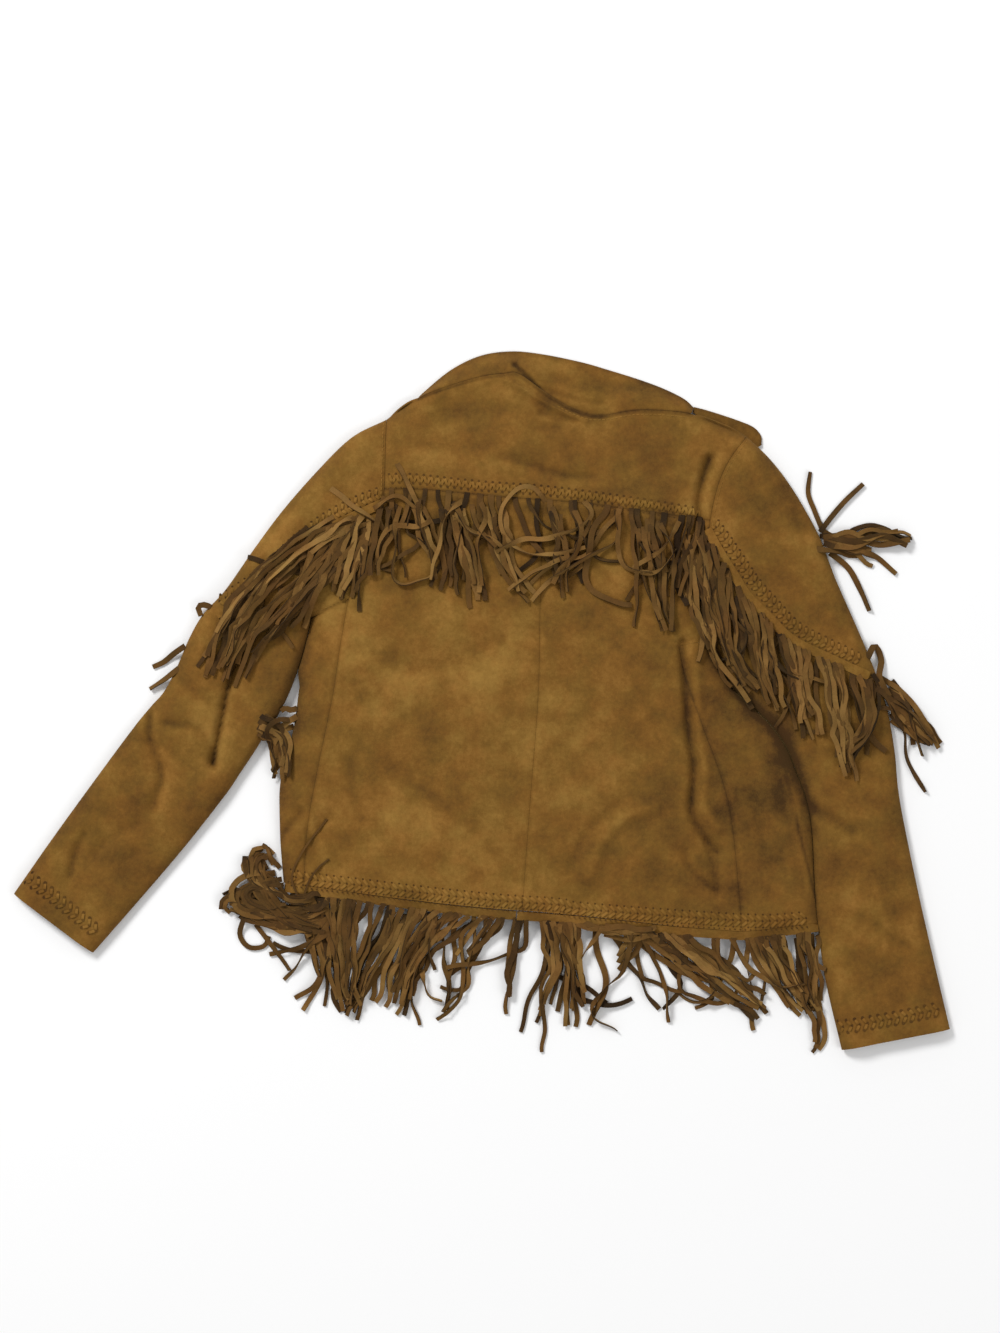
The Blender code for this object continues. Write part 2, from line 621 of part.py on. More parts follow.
def fringe(name, root, side, plan, seed, home, count=None, heroes=(), in_fold=False):
    """A strip along a line, cut into strands that hang to one side and settle in layers.

    The plan's rows hold share of the strip, heading in degrees, length and sway in degrees.
    """
    rng = random.Random(seed)
    lie, gap = (from_fold(root), SEAT) if in_fold else (over_cloth, SEAM)
    run = lengths(root)[-1]
    count = count or int(run / STRAND_PITCH)
    pitch = run / count
    plan = np.array(plan, float)
    web = (pitch - STRAND_WIDTH) / 2
    marks = [0.0]
    for k in range(count):
        marks += [k * pitch + web, (k + 1) * pitch - web]
    marks = np.array(marks + [run]) / run
    bm = slab(len(marks) - 1, 1)
    shares = np.array([v.co for v in bm.verts])
    share = marks[np.rint(shares[:, 0] * (len(marks) - 1)).astype(int)]
    ahead = at(root, np.minimum(share + 0.01, 1)) - at(root, np.maximum(share - 0.01, 0))
    ahead /= np.linalg.norm(ahead, axis=1, keepdims=True)
    across = side * np.stack([ahead[:, 1], -ahead[:, 0]], -1)
    across_line = np.array([across[np.argmin(np.abs(share - mark))] for mark in np.linspace(0, 1, 40)])
    xy = at(root, share) + across * (gap + STRIP_DEPTH * (1 - shares[:, 1:2]))
    height = lie(xy) + STRAND_WALL * shares[:, 2]
    cells = {}
    for face in bm.faces:
        middle = face.calc_center_median()
        if abs(middle.y) < 1e-4:
            cells[round(middle.x * (len(marks) - 1) - 0.5)] = face
    for vert, (x, y), z in zip(bm.verts, xy, height):
        vert.co = np.array((x, y, z)) * MM
    levels = {vert: shares[k, 2] > 0.5 for k, vert in enumerate(bm.verts)}
    order = sorted(set(range(count)) - {hero[0] for hero in heroes}, key=lambda k: rng.random())
    laid = {}
    for k, layer, path in heroes:
        path = at(curve(path), np.linspace(0, 1, max(4, round(lengths(curve(path))[-1] / STEP) + 1)))
        laid[k] = (path, layer)
        settled[layer].append(at(path, np.linspace(ROOT_SHARE, 1, 24)))
    for k in order:
        face = cells[2 * k + 1]
        corners = [np.array(v.co)[:2] / MM for v in face.verts]
        start = np.mean(corners, axis=0)
        out = across_line[int((k + 0.5) / count * 39)]
        square = math.degrees(math.atan2(out[1], out[0]))
        square += 360 * round((plan[0, 1] - square) / 360)
        row = [np.interp((k + 0.5) / count, plan[:, 0], plan[:, c]) for c in (1, 2, 3)]
        for attempt in range(ATTEMPTS):
            ease = 1 - attempt / 20
            reach = row[1] * rng.uniform(0.86, 1.08) * (1 - 0.03 * attempt)
            path = strand_path(start, square, row[0] + rng.uniform(-3, 3) * ease, reach, row[2] * ease, rng)
            fine = at(path, np.linspace(ROOT_SHARE, 1, 24))
            layer = next((n for n in range(LAYERS) if fits(fine, n, STRAND_WIDTH + STRAND_ROOM)), None)
            if layer is not None:
                settled[layer].append(fine)
                laid[k] = (path, layer)
                break
    for k in sorted(laid):
        path, layer = laid[k]
        face = cells[2 * k + 1]
        corners = list(face.verts)
        middle = np.mean([np.array(v.co)[:2] for v in corners], axis=0) / MM
        path = path + (middle - path[0]) * np.linspace(1, 0, len(path))[:, None] ** 2
        ahead = np.gradient(path, axis=0)
        ahead /= np.linalg.norm(ahead, axis=1, keepdims=True)
        across = np.stack([-ahead[:, 1], ahead[:, 0]], -1)
        sides = {v: np.sign(np.dot(np.array(v.co)[:2] / MM - middle, across[0])) for v in corners}
        tops = {v: levels[v] for v in corners}
        travel = lengths(path)
        for n in range(1, len(path)):
            grown = bmesh.ops.extrude_discrete_faces(bm, faces=[face])["faces"][0]
            kin = {tuple(np.round(np.array(v.co), 7)): v for v in corners}
            pairs = [(v, kin[tuple(np.round(np.array(v.co), 7))]) for v in grown.verts]
            half = STRAND_WIDTH / 2 * (1 - STRAND_TAPER * (n / (len(path) - 1)) ** 3)
            lift = layer * LAYER * smooth(travel[n] / LIFT_RUN)
            sides = {v: sides[old] for v, old in pairs}
            tops = {v: tops[old] for v, old in pairs}
            for vert in grown.verts:
                xy = path[n] + across[n] * half * sides[vert]
                z = lie(xy) + lift + STRAND_WALL * tops[vert]
                vert.co = np.array((*xy, z)) * MM
            face, corners = grown, list(grown.verts)
    settled[0].append(at(root, np.linspace(0, 1, 60)))
    finish(bm, name, GOLD_FRINGE, home)


# Rows: share along the strip, heading, length, sway
YOKE_FRINGE = (
    (0, -97, 80, 22), (0.2, -93, 96, 24), (0.5, -90, 100, 30), (0.8, -88, 98, 24), (1, -84, 92, 20),
)
SLEEVE_LEFT_BAND = (
    (-101, 206), (-120, 199), (-152, 183), (-182, 162), (-212, 131), (-242, 111), (-262, 98),
)
SLEEVE_LEFT_FRINGE = ((0, -96, 88, 14), (0.3, -104, 108, 14), (0.6, -108, 112, 16), (1, -102, 100, 16))
SLEEVE_RIGHT_BAND = (
    (234, 172), (243, 158), (258, 134), (271, 114), (290, 94), (313, 72), (348, 57), (379, 43),
)
SLEEVE_RIGHT_FRINGE = (
    (0, -92, 96, 18), (0.4, -88, 104, 22), (0.75, -82, 104, 22), (1, -70, 92, 20),
)
HEM_LEFT_FRINGE = (
    (0, -98, 104, 18), (0.15, -93, 126, 24), (0.5, -90, 124, 24), (0.85, -92, 106, 20), (1, -97, 92, 12),
)
HEM_RIGHT_FRINGE = (
    (0, -84, 110, 12), (0.3, -86, 108, 24), (0.5, -86, 88, 24), (0.75, -80, 98, 24), (1, -80, 124, 14),
)
LOCK = ((0, 210, 44, 12), (1, 215, 40, 12))
STRAYS = ((0, 196, 22, 8), (1, 200, 20, 8))
# Strands placed one by one: cell, layer and plan path
LOWEST = ((34, 1, ((318, -222), (322, -262), (331, -305), (327, -330), (330, -356))),)
FRONT_TOP = (
    (0, 1, ((343, 176), (352, 196), (366, 210), (379, 222))),
    (1, 0, ((345, 171), (372, 172), (398, 161), (427, 167))),
    (2, 0, ((347, 165), (370, 160), (392, 152), (412, 134))),
    (3, 2, ((349, 158), (372, 156), (392, 167), (409, 176))),
    (4, 0, ((351, 151), (368, 138), (380, 118), (386, 98))),
)
FRONT_LOW = (
    (0, 0, ((407, 27), (421, 17), (436, -4), (456, -40))),
    (1, 1, ((411, 15), (424, 3), (431, -20), (446, -36))),
    (2, 0, ((413, 4), (424, -8), (432, -28), (440, -48))),
    (3, 2, ((415, -7), (421, -24), (425, -52), (443, -84))),
)
OUTER_LEFT = (
    (0, 0, ((-305, 62), (-313, 58), (-321, 50), (-328, 41))),
    (1, 0, ((-316, 37.5), (-321, 33), (-326, 27), (-331, 19))),
)
SIDE = (
    (0, 1, ((-197, -15), (-205, -19), (-210, -30), (-208, -46))),
    (1, 0, ((-199, -26), (-206, -33), (-209, -52), (-207, -72))),
)
CORNER = (
    (0, 0, ((-209, -142), (-222, -138), (-238, -146), (-246, -166), (-250, -190))),
    (1, 1, ((-209, -148), (-228, -148), (-240, -170), (-236, -200), (-222, -226))),
    (2, 2, ((-208, -154), (-222, -156), (-236, -180), (-250, -214), (-232, -236))),
    (3, 0, ((-206, -161), (-222, -174), (-228, -200), (-216, -220), (-208, -232))),
    (4, 3, ((-205, -168), (-214, -186), (-212, -214), (-226, -240), (-234, -256))),
)

yoke_strip = stretch(yoke_seam, (-92, 218), (221, 188))
fringe("fringe_yoke", yoke_strip, 1, YOKE_FRINGE, 11, jacket)
band_left, band_right = curve(SLEEVE_LEFT_BAND), curve(SLEEVE_RIGHT_BAND)
fringe("fringe_sleeve_left", band_left, -1, SLEEVE_LEFT_FRINGE, 12, jacket, count=20)
fringe("fringe_sleeve_right", band_right, 1, SLEEVE_RIGHT_FRINGE, 63, jacket, count=24)
hem_all = np.vstack([left_fold[-1:], hem, right_fold[-1:]])
hem_strip_left = stretch(hem_all, (-194, -174), (26, -201))
hem_strip_right = stretch(hem_all, (38, -202), (327, -215))
fringe("fringe_hem_left", hem_strip_left, 1, HEM_LEFT_FRINGE, 14, jacket)
fringe("fringe_hem_right", hem_strip_right, 1, HEM_RIGHT_FRINGE, 15, jacket, 35, LOWEST)
# Locks of the front's fringe that show past the folds
top_strip = stretch(outer_right, (335, 178), (350, 141))
low_strip = stretch(outer_right, (395, 31), (407, -15))
fringe("fringe_front_right_top", top_strip, -1, LOCK, 16, jacket, 5, FRONT_TOP, True)
fringe("fringe_front_right_low", low_strip, -1, LOCK, 17, jacket, 4, FRONT_LOW, True)
outer_strip = stretch(outer_left, (-292, 70), (-312, 25))
side_strip = stretch(left_fold, (-187, -9), (-192, -31))
corner_strip = stretch(left_fold, (-201, -138), (-198, -170))
fringe("fringe_front_left", outer_strip, 1, STRAYS, 18, jacket, 2, OUTER_LEFT, True)
fringe("fringe_side_left", side_strip, 1, LOCK, 19, jacket, 2, SIDE, True)
fringe("fringe_hem_corner", corner_strip, 1, LOCK, 20, jacket, 5, CORNER, True)
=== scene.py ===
# %% [markdown]
# A cropped suede jacket with a yoke, laced seams and long cut fringe lies face down on a floor.
# Real suede is a limp sheet about 1.5 mm thick, so every piece here is a thin shell that follows
# the form the jacket takes when it is laid out. Plans are in millimetres, with the hem at -Y.

# %% The frame and the libraries
import math
import random

import bmesh
import bpy
import numpy as np
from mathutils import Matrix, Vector


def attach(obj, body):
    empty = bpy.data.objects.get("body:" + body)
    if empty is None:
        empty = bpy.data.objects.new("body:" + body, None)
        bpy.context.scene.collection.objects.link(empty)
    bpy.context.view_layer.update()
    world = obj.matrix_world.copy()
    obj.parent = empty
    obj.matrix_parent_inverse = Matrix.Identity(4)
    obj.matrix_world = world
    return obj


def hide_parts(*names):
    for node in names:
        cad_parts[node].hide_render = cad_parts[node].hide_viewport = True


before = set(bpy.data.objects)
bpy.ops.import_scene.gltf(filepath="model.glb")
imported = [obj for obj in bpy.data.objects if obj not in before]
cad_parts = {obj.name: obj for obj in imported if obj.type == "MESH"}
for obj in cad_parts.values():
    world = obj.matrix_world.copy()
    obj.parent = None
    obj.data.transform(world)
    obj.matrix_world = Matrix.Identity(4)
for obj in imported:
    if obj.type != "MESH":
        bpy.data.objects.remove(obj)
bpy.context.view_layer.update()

MM = 0.001


def in_scene(name, data):
    obj = bpy.data.objects.new(name, data)
    bpy.context.scene.collection.objects.link(obj)
    return obj


# %% [markdown]
# A garment suede is a little over a millimetre thick and turns over at a fold in a tight round. A
# few sizes say how all of the jacket lies: how high its middle stands, how wide the roll towards
# each fold is, and how far a side panel turns under. They are set once and used by every panel.

# %% Sizes of the suede and of the way the jacket lies
WALL = 1.6  # thickness of the suede
SEAM = 0.16  # gap between two panels
FOLD = 5.0  # radius of the round at a fold
SHOULDER_LIFT = 3.2  # how far the under side curves up to a shoulder seam
ROLL = 22.0  # distance over which the upper side rolls down to a fold
CROWN = 17.0  # height of the middle of the back
TURN_UNDER = 20.0  # how far a side panel reaches under the jacket
MOST_SKEW = 2.2
ROW_EASE = 1.15
print("suede", WALL, "mm thick, the back", CROWN, "mm high")

# %% [markdown]
# A sleeve tapers and bends a little at the elbow. Laid flat it can be told by sections across it,
# each from the outer fold to the inner fold, from the armhole down to the cuff. Fifteen rows are
# enough, since a smooth curve is run through them later.

# %% Sleeve rows: outer fold x and y, inner fold x and y, share of the armhole's bow
SLEEVE_LEFT = (
    (-95, 288, -170.5, 90, 1.0),
    (-130, 270, -170.6, 89.6, 0.6),
    (-164, 237, -170.7, 89.1, 0.3),
    (-199, 197, -170.9, 88, 0.12),
    (-228, 158, -172.3, 80, 0.03),
    (-256, 118, -179.5, 51, 0),
    (-278, 94, -191, 18, 0),
    (-292, 70, -204, -8, 0),
    (-304, 42, -216, -26, 0),
    (-317, 17, -228, -45, 0),
    (-330, 2, -242, -66, 0),
    (-348, -20, -257, -88, 0),
    (-388, -74, -298, -140, 0),
    (-430, -132, -345, -195, 0),
    (-467, -185, -388, -244, 0),
)
SLEEVE_RIGHT = (
    (264, 271, 227.5, 68, 1.0),
    (286, 250, 229, 63, 0.75),
    (305, 226, 231, 56, 0.5),
    (323, 197, 235, 47, 0.25),
    (338, 168, 242, 34, 0.08),
    (352, 131, 252, 18, 0),
    (366, 99, 271, 0, 0),
    (380, 67, 289, -18, 0),
    (394, 32, 304, -40, 0),
    (405, -4, 314, -65, 0),
    (412, -44, 323, -89, 0),
    (417, -92, 329, -122, 0),
    (434, -177, 333, -195, 0),
    (451, -252, 342, -267, 0),
    (467, -320, 359, -341, 0),
)
print("sleeves of", len(SLEEVE_LEFT), "and", len(SLEEVE_RIGHT), "rows")

# %% [markdown]
# Panels meet at seams, and the jacket turns over at its folds. Each line is a handful of points
# measured from the middle of the jacket. A seam is listed once and the panels on both its sides
# use it, so neighbours always fit, and the lacing and fringe can follow the same edges.

# %% Seam and fold lines: x and y
ARM_LEFT = ((-95, 288), (-96, 253), (-97, 218), (-100, 183), (-114, 145), (-133, 108))
ARM_LEFT_LOW = ((-133, 108), (-151, 98.5), (-170.5, 90))
ARM_RIGHT = (
    (264, 271), (248, 250), (237, 228), (230, 203), (226, 180), (222, 148), (222, 108), (227.5, 68),
)
YOKE_SEAM = ((-97, 218), (-51, 217), (20, 210), (61, 207), (102, 204), (153, 197), (227, 187))
NECK_LINE = (
    (-94, 286.5), (-64, 307.5), (-8, 327), (23, 332), (38, 331), (72, 307),
    (110, 291), (158, 296), (208, 292.5), (240, 281.5), (262, 270.5),
)
BACK_SEAM_LEFT = ((-133, 108), (-141, 61), (-148, 14), (-164, -64), (-174, -122), (-177, -176))
BACK_SEAM_RIGHT = ((196, 62), (204, 25), (222, -25), (240, -75), (250, -125), (259, -222))
CENTRE_BACK = ((61, 207), (58, 108), (56, 13), (48, -92), (40, -201))
HEM = (
    (-177, -176), (-121, -184), (-62, -192), (2, -199), (40, -202), (66, -204),
    (138, -211), (190, -217), (259, -222),
)
LEFT_FOLD = (
    (-168, 88.5), (-169.5, 72), (-175, 56), (-178, 44), (-181, 28), (-183, 16), (-185, 0),
    (-188, -20), (-193, -40), (-199, -62), (-202, -82), (-202, -107), (-201, -137), (-198, -174),
)
RIGHT_FOLD = (
    (225.5, 67), (229, 56), (239.5, 34.5), (250, 17), (269, -1), (287, -19), (301.5, -40),
    (311.5, -65), (320.5, -89), (326.5, -122), (329.5, -158), (332, -214),
)
SHOULDER_LEFT = ((-95, 288), (-64, 309))
SHOULDER_RIGHT = ((208, 294), (264, 271))
COLLAR_EDGE = (
    (-66, 307.5), (-58, 316), (-31, 338), (-2, 352), (28, 356.5), (58, 354), (98, 346), (126, 338),
    (158, 328), (182, 319), (202, 309), (212, 300),
)
LAPEL_EDGE = ((211.7, 301), (227, 297), (253, 288.5), (271, 281), (279, 272), (279.5, 263))
LAPEL_ROOT = ((211, 294.6), (239, 281), (262, 270.5), (269, 265), (275, 259.5))
FRONT_EDGE = ((66, -203), (75, 236))
LEFT_NECK = ((-94, 284.5), (-66, 303), (-48, 300), (-10, 262), (30, 242), (75, 236))
RIGHT_NECK = ((75, 236), (120, 242), (165, 268), (190, 288), (208, 289.5), (261.5, 267))
print("the hem runs from", HEM[0], "to", HEM[-1])

# %% [markdown]
# Seam lines are drawn as smooth curves through a few points, the way a pattern cutter bends a
# flexible ruler through its marks. These helpers read a place on such a curve, cut a stretch
# out of it, and join two stretches into one edge.

# %% Curves
def spline(table, share):
    """Smooth values of a table's columns at this share of the way down its rows."""
    rows = np.asarray(table, float)
    rows = np.vstack([2 * rows[0] - rows[1], rows, 2 * rows[-1] - rows[-2]])
    place = np.clip(np.asarray(share, float), 0, 1) * (len(rows) - 3)
    index = np.minimum(place.astype(int), len(rows) - 4)
    f = (place - index)[..., None]
    a, b, c, d = (rows[index + k] for k in range(4))
    square, cube = 2 * a - 5 * b + 4 * c - d, 3 * b - a - 3 * c + d
    return 0.5 * (2 * b + (c - a) * f + square * f**2 + cube * f**3)


def curve(table):
    return spline(table, np.linspace(0, 1, 8 * (len(table) - 1) + 1))


def lengths(line):
    return np.concatenate([[0], np.cumsum(np.linalg.norm(np.diff(line, axis=0), axis=1))])


def at(line, share):
    """Points at this share of a line's length."""
    run = lengths(line)
    place = np.asarray(share) * run[-1]
    return np.stack([np.interp(place, run, column) for column in line.T], -1)


def share_near(line, point):
    fine = np.linspace(0, 1, 2001)
    return fine[np.argmin(np.linalg.norm(at(line, fine) - np.asarray(point), axis=1))]


def stretch(line, start, end):
    """The stretch of a line between the places nearest to two points."""
    return at(line, np.linspace(share_near(line, start), share_near(line, end), 80))


def along(line):
    return lambda share: at(line, share)


def chained(first, second, corner):
    """Two lines as one edge of a piece, with their meeting point at the share called corner."""

    def edge(share):
        share = np.asarray(share, float)
        low = at(first, np.clip(share / corner, 0, 1))
        high = at(second, np.clip((share - corner) / (1 - corner), 0, 1))
        return np.where((share < corner)[..., None], low, high)

    return edge


print("a curve through 3 points has", len(curve(((0, 0), (1, 1), (2, 0)))))

# %% [markdown]
# Folds, seams and edges all fade with the distance from a line. One helper measures it for many
# points at once, a few thousand at a time to save memory. Another is a soft step from 0 to 1, and
# a third gives plan points their height.

# %% Soft steps, heights and distances
def smooth(x):
    x = np.clip(x, 0, 1)
    return x * x * (3 - 2 * x)


def raised(xy, height):
    """Plan points with a height for each."""
    return np.concatenate([xy, np.asarray(height)[..., None]], -1)


def distance(points, lines):
    """Distance in plan from each point to the nearest of these lines."""
    points = np.asarray(points, float)
    start = np.vstack([line[:-1] for line in lines])
    step = np.vstack([np.diff(line, axis=0) for line in lines])
    size = np.maximum((step**2).sum(1), 1e-9)
    flat = points.reshape(-1, 2)
    found = []
    for chunk in np.array_split(flat, max(1, len(flat) // 4000)):
        away = chunk[:, None, :] - start
        f = np.clip((away * step).sum(2) / size, 0, 1)
        found.append(np.linalg.norm(away - f[..., None] * step, axis=2).min(1))
    return np.concatenate(found).reshape(points.shape[:-1])


print("a soft step reaches", round(float(smooth(0.25)), 2), "after a quarter of its way")

# %% [markdown]
# The tables now become lines. Where a side fold runs close beside a sleeve, real suede would touch
# it, so the fold is moved up to the sleeve and no bright slit is left between them.

# %% Lines of the jacket
sleeve_left = np.array(SLEEVE_LEFT, float)
sleeve_right = np.array(SLEEVE_RIGHT, float)
outer_left, inner_left = curve(sleeve_left[:, :2]), curve(sleeve_left[:, 2:4])
outer_right, inner_right = curve(sleeve_right[:, :2]), curve(sleeve_right[:, 2:4])
arm_left, arm_left_low, arm_right = curve(ARM_LEFT), curve(ARM_LEFT_LOW), curve(ARM_RIGHT)
yoke_seam, neck_line, centre_back = curve(YOKE_SEAM), curve(NECK_LINE), curve(CENTRE_BACK)
back_seam_left, back_seam_right, hem = curve(BACK_SEAM_LEFT), curve(BACK_SEAM_RIGHT), curve(HEM)


def closed_up(line, other, reach, gap=0.3):
    """A fold moved up to a fold beside it, wherever the two lie closer than the reach."""
    fine = at(other, np.linspace(0, 1, 1500))
    apart = np.linalg.norm(line[:, None] - fine[None], axis=2)
    nearest = fine[apart.argmin(1)]
    width = apart.min(1)
    moved = nearest + (line - nearest) * (gap / np.maximum(width, gap))[:, None]
    share = smooth((reach - width) / 3)[:, None]
    return line + (moved - line) * share


left_fold = closed_up(curve(LEFT_FOLD), inner_left, 7.0, 0.05)
right_fold = closed_up(curve(RIGHT_FOLD), inner_right, 12.0, 0.05)
neck = stretch(neck_line, (-64, 307.5), (208, 292.5))
armhole_left = np.vstack([arm_left, arm_left_low[1:]])
outline = [
    outer_left, inner_left, outer_right, inner_right, left_fold, right_fold,
    np.array(SHOULDER_LEFT, float), np.array(SHOULDER_RIGHT, float),
]
for name, line in (("hem", hem), ("left sleeve", outer_left), ("right sleeve", outer_right)):
    print(name, round(lengths(line)[-1]), "mm long")

# %% [markdown]
# Suede lies in broad hollows and soft wrinkles, because its own weight is all that presses it
# flat. The main folds are placed one by one, each with its own depth and width. A gentle
# unevenness between them comes from smooth noise, and the leather pulls down at each seam.

# %% Folds of the upper side: depth, half-width, then the line each one follows
FOLDS = (
    (3.0, 12, ((63, 303), (118, 289))), (1.6, 14, ((-37, 293), (18, 297))),
    (4.4, 5.5, ((227, 248), (220, 227), (216, 205), (217, 176))),
    (4.0, 5.0, (
        (199, 66), (202, 28), (206, -28), (211, -60), (209, -102), (219, -124), (234, -142),
    )),
    (-1.5, 6, ((213, 40), (216, -26), (222, -62), (221, -98), (234, -120))),
    (-1.8, 8, ((106, -167), (119, -132), (145, -106), (171, -98))),
    (1.8, 5, ((202, -142), (207, -160), (232, -181))),
    (1.2, 6, ((88, -160), (104, -124), (134, -96))),
    (2.0, 5, ((-206, -150), (-199, -128), (-180, -103))),
    (-1.4, 2.6, ((24, 326), (43, 316), (69, 301), (86, 293), (104, 287))),
    (1.8, 4, ((60, 294), (75, 290), (92, 286))), (1.0, 6, ((58, 280), (69, 278), (80, 281))),
    (4.6, 4.6, ((-227, 80), (-248, 39), (-260, -15), (-268, -55))),
    (2.8, 5.5, ((-331, -8), (-331, -33), (-322, -54), (-320, -72), (-327, -97))),
    (1.6, 6, ((-316, -15), (-286, -20), (-272, -37), (-268, -57))),
    (2.0, 4.5, ((-396, -126), (-404, -142), (-411, -168))),
    (-0.9, 7, ((391, -178), (401, -212), (400, -242))), (2.6, 8, ((330, -100), (368, -121))),
    (2.0, 12, ((302, 218), (318, 178))), (1.6, 7, ((-150, -104), (-165, -125), (-172, -152))),
    (1.8, 5, ((223, -134), (230, -158), (234, -185))), (1.6, 12, ((-120, 60), (-60, 40), (20, 70))),
    (1.5, 13, ((-90, -60), (-20, -110), (30, -160))), (1.6, 12, ((290, 60), (340, 20), (380, 5))),
    (1.8, 10, ((360, -200), (420, -235))),
)
WRINKLES = (
    (1.1, 5, ((-176, -120), (-168, -140), (-160, -166))),
    (0.9, 4, ((-166, -112), (-150, -140), (-140, -160))),
    (1.0, 6, ((-300, 30), (-275, 8), (-250, -5))),
    (0.9, 5, ((-345, -30), (-318, -38), (-290, -60))),
    (1.2, 5, ((-386, -146), (-368, -128), (-342, -115))),
    (1.0, 5, ((-352, -148), (-336, -140), (-322, -142))),
    (0.8, 6, ((-160, 250), (-180, 215), (-215, 170))),
    (1.0, 6, ((-125, 150), (-130, 130), (-145, 112))),
    (0.9, 6, ((230, 130), (240, 100), (262, 60))),
    (1.0, 7, ((330, -40), (370, -55), (400, -75))),
    (0.8, 6, ((350, -150), (380, -158), (410, -180))),
    (1.6, 6, ((20, 251), (50, 241), (84, 231), (110, 230))),
    (0.7, 8, ((-60, 262), (-20, 258), (20, 264))),
    (0.7, 7, ((-40, 150), (-10, 130), (40, 140))),
    (0.7, 6, ((100, 150), (140, 120), (180, 110))),
    (0.8, 6, ((262, -40), (270, -90), (280, -140))),
    (0.8, 5, ((296, -72), (306, -120), (320, -180))),
    (0.8, 7, ((-110, -10), (-130, -60), (-120, -110))),
)
STRIP_EDGE = ((302, -64), (309, -96), (317, -128), (325, -160), (333, -191))
UNEVEN = ((1.6, 62.0, 3), (0.9, 27.0, 5), (0.3, 13.0, 8))
FOLD_DEEPER = 1.75
fold_lines = [(FOLD_DEEPER * depth, half, curve(line)) for depth, half, line in FOLDS + WRINKLES]
yoke_low = stretch(yoke_seam, (-97, 218), (227, 187))
SEAM_HALF = 2.4
# How deep each seam pulls the suede down, how dark its line is, partly a dark seam and partly
# a painted shadow in it, and its lines.
seams = (
    (1.2, 0.13, [armhole_left, arm_right]),
    (1.1, 0.24, [yoke_low]),
    (0.9, 0.17, [back_seam_left, back_seam_right]),
    (0.5, 0.10, [centre_back]),
    (0.8, 0.34, [neck]),
    (0.5, 0.26, [curve(STRIP_EDGE)]),
)
print(len(fold_lines), "folds and wrinkles")

# %% [markdown]
# Heights are kept as a map with one value for each millimetre of the plan, because every panel,
# stitch and strand asks for them many times. Hills come from random values blended smoothly over a
# coarse grid, and a fold is a soft trough whose depth fades with the distance from its line.

# %% Noise, troughs and the height map
FIELD_CELL = 1.0
FIELD_X, FIELD_Y = np.arange(-520, 521, FIELD_CELL), np.arange(-400, 401, FIELD_CELL)
field_points = np.stack(np.meshgrid(FIELD_X, FIELD_Y, indexing="ij"), -1)


def noise(xy, cell, seed):
    """Smooth random heights from -1 to 1 with hills about this many millimetres apart."""
    rows = np.random.RandomState(seed).uniform(-1, 1, (97, 97))
    place = np.asarray(xy) / cell + 1000.37
    whole = np.floor(place).astype(int)
    f = smooth(place - whole)
    i, j = whole[..., 0] % 96, whole[..., 1] % 96
    low = rows[i, j] * (1 - f[..., 0]) + rows[i + 1, j] * f[..., 0]
    high = rows[i, j + 1] * (1 - f[..., 0]) + rows[i + 1, j + 1] * f[..., 0]
    return low * (1 - f[..., 1]) + high * f[..., 1]


def near(lines, reach):
    """Distance in plan to the nearest of these lines over the whole field, up to a reach."""
    found = np.full(field_points.shape[:2], float(reach))
    for line in lines:
        for start, end in zip(line[:-1], line[1:]):
            low, high = np.minimum(start, end) - reach, np.maximum(start, end) + reach
            i = slice(*np.searchsorted(FIELD_X, (low[0], high[0])))
            j = slice(*np.searchsorted(FIELD_Y, (low[1], high[1])))
            away, step = field_points[i, j] - start, end - start
            f = np.clip(away @ step / max(step @ step, 1e-9), 0, 1)
            apart = np.linalg.norm(away - f[..., None] * step, axis=-1)
            found[i, j] = np.minimum(found[i, j], apart)
    return found


def trough(lines, half):
    """A soft trough along these lines, 1 at its bottom and 0 away from it."""
    return np.exp(-((near(lines, 3 * half) / half) ** 2))


def read(field, xy):
    """Values of a field at plan points, read between its cells."""
    x = np.clip((xy[..., 0] - FIELD_X[0]) / FIELD_CELL, 0, len(FIELD_X) - 1.001)
    y = np.clip((xy[..., 1] - FIELD_Y[0]) / FIELD_CELL, 0, len(FIELD_Y) - 1.001)
    i, j = x.astype(int), y.astype(int)
    f, g = x - i, y - j
    low = field[i, j] * (1 - f) + field[i + 1, j] * f
    high = field[i, j + 1] * (1 - f) + field[i + 1, j + 1] * f
    return low * (1 - g) + high * g


print("map of", len(FIELD_X), "by", len(FIELD_Y), "points")

# %% [markdown]
# The back stands highest in its middle, lower over the sleeves, at the hem and at the neck. The
# folds and seams are then pressed into it. Towards each outer fold the height follows a quarter
# ellipse, which is the round that a soft sheet takes when it turns over.

# %% Height of both sides of the jacket
BODY_MIDDLE, BODY_HALF, SIDE_SLOPE, SIDE_DROP = 65, 200, 160, 3
HEM_START, HEM_RUN, HEM_DROP = -110, 90, 1.2
NECK_DROP, NECK_HALF = 4.5, 45
EDGE_BAND = 4
across_field, down_field = field_points[..., 0], field_points[..., 1]
past_body = np.abs(across_field - BODY_MIDDLE) - BODY_HALF
crown_field = CROWN - SIDE_DROP * smooth(past_body / SIDE_SLOPE)
crown_field -= HEM_DROP * smooth((HEM_START - down_field) / HEM_RUN)
crown_field -= NECK_DROP * trough([neck], NECK_HALF)
for size, cell, seed in UNEVEN:
    crown_field += size * noise(field_points, cell, seed)
for depth, half, line in fold_lines:
    crown_field -= depth * trough([line], half)
for dip, painted_dark, lines in seams:
    crown_field -= dip * trough(lines, SEAM_HALF)
edge_field = near(outline, ROLL)


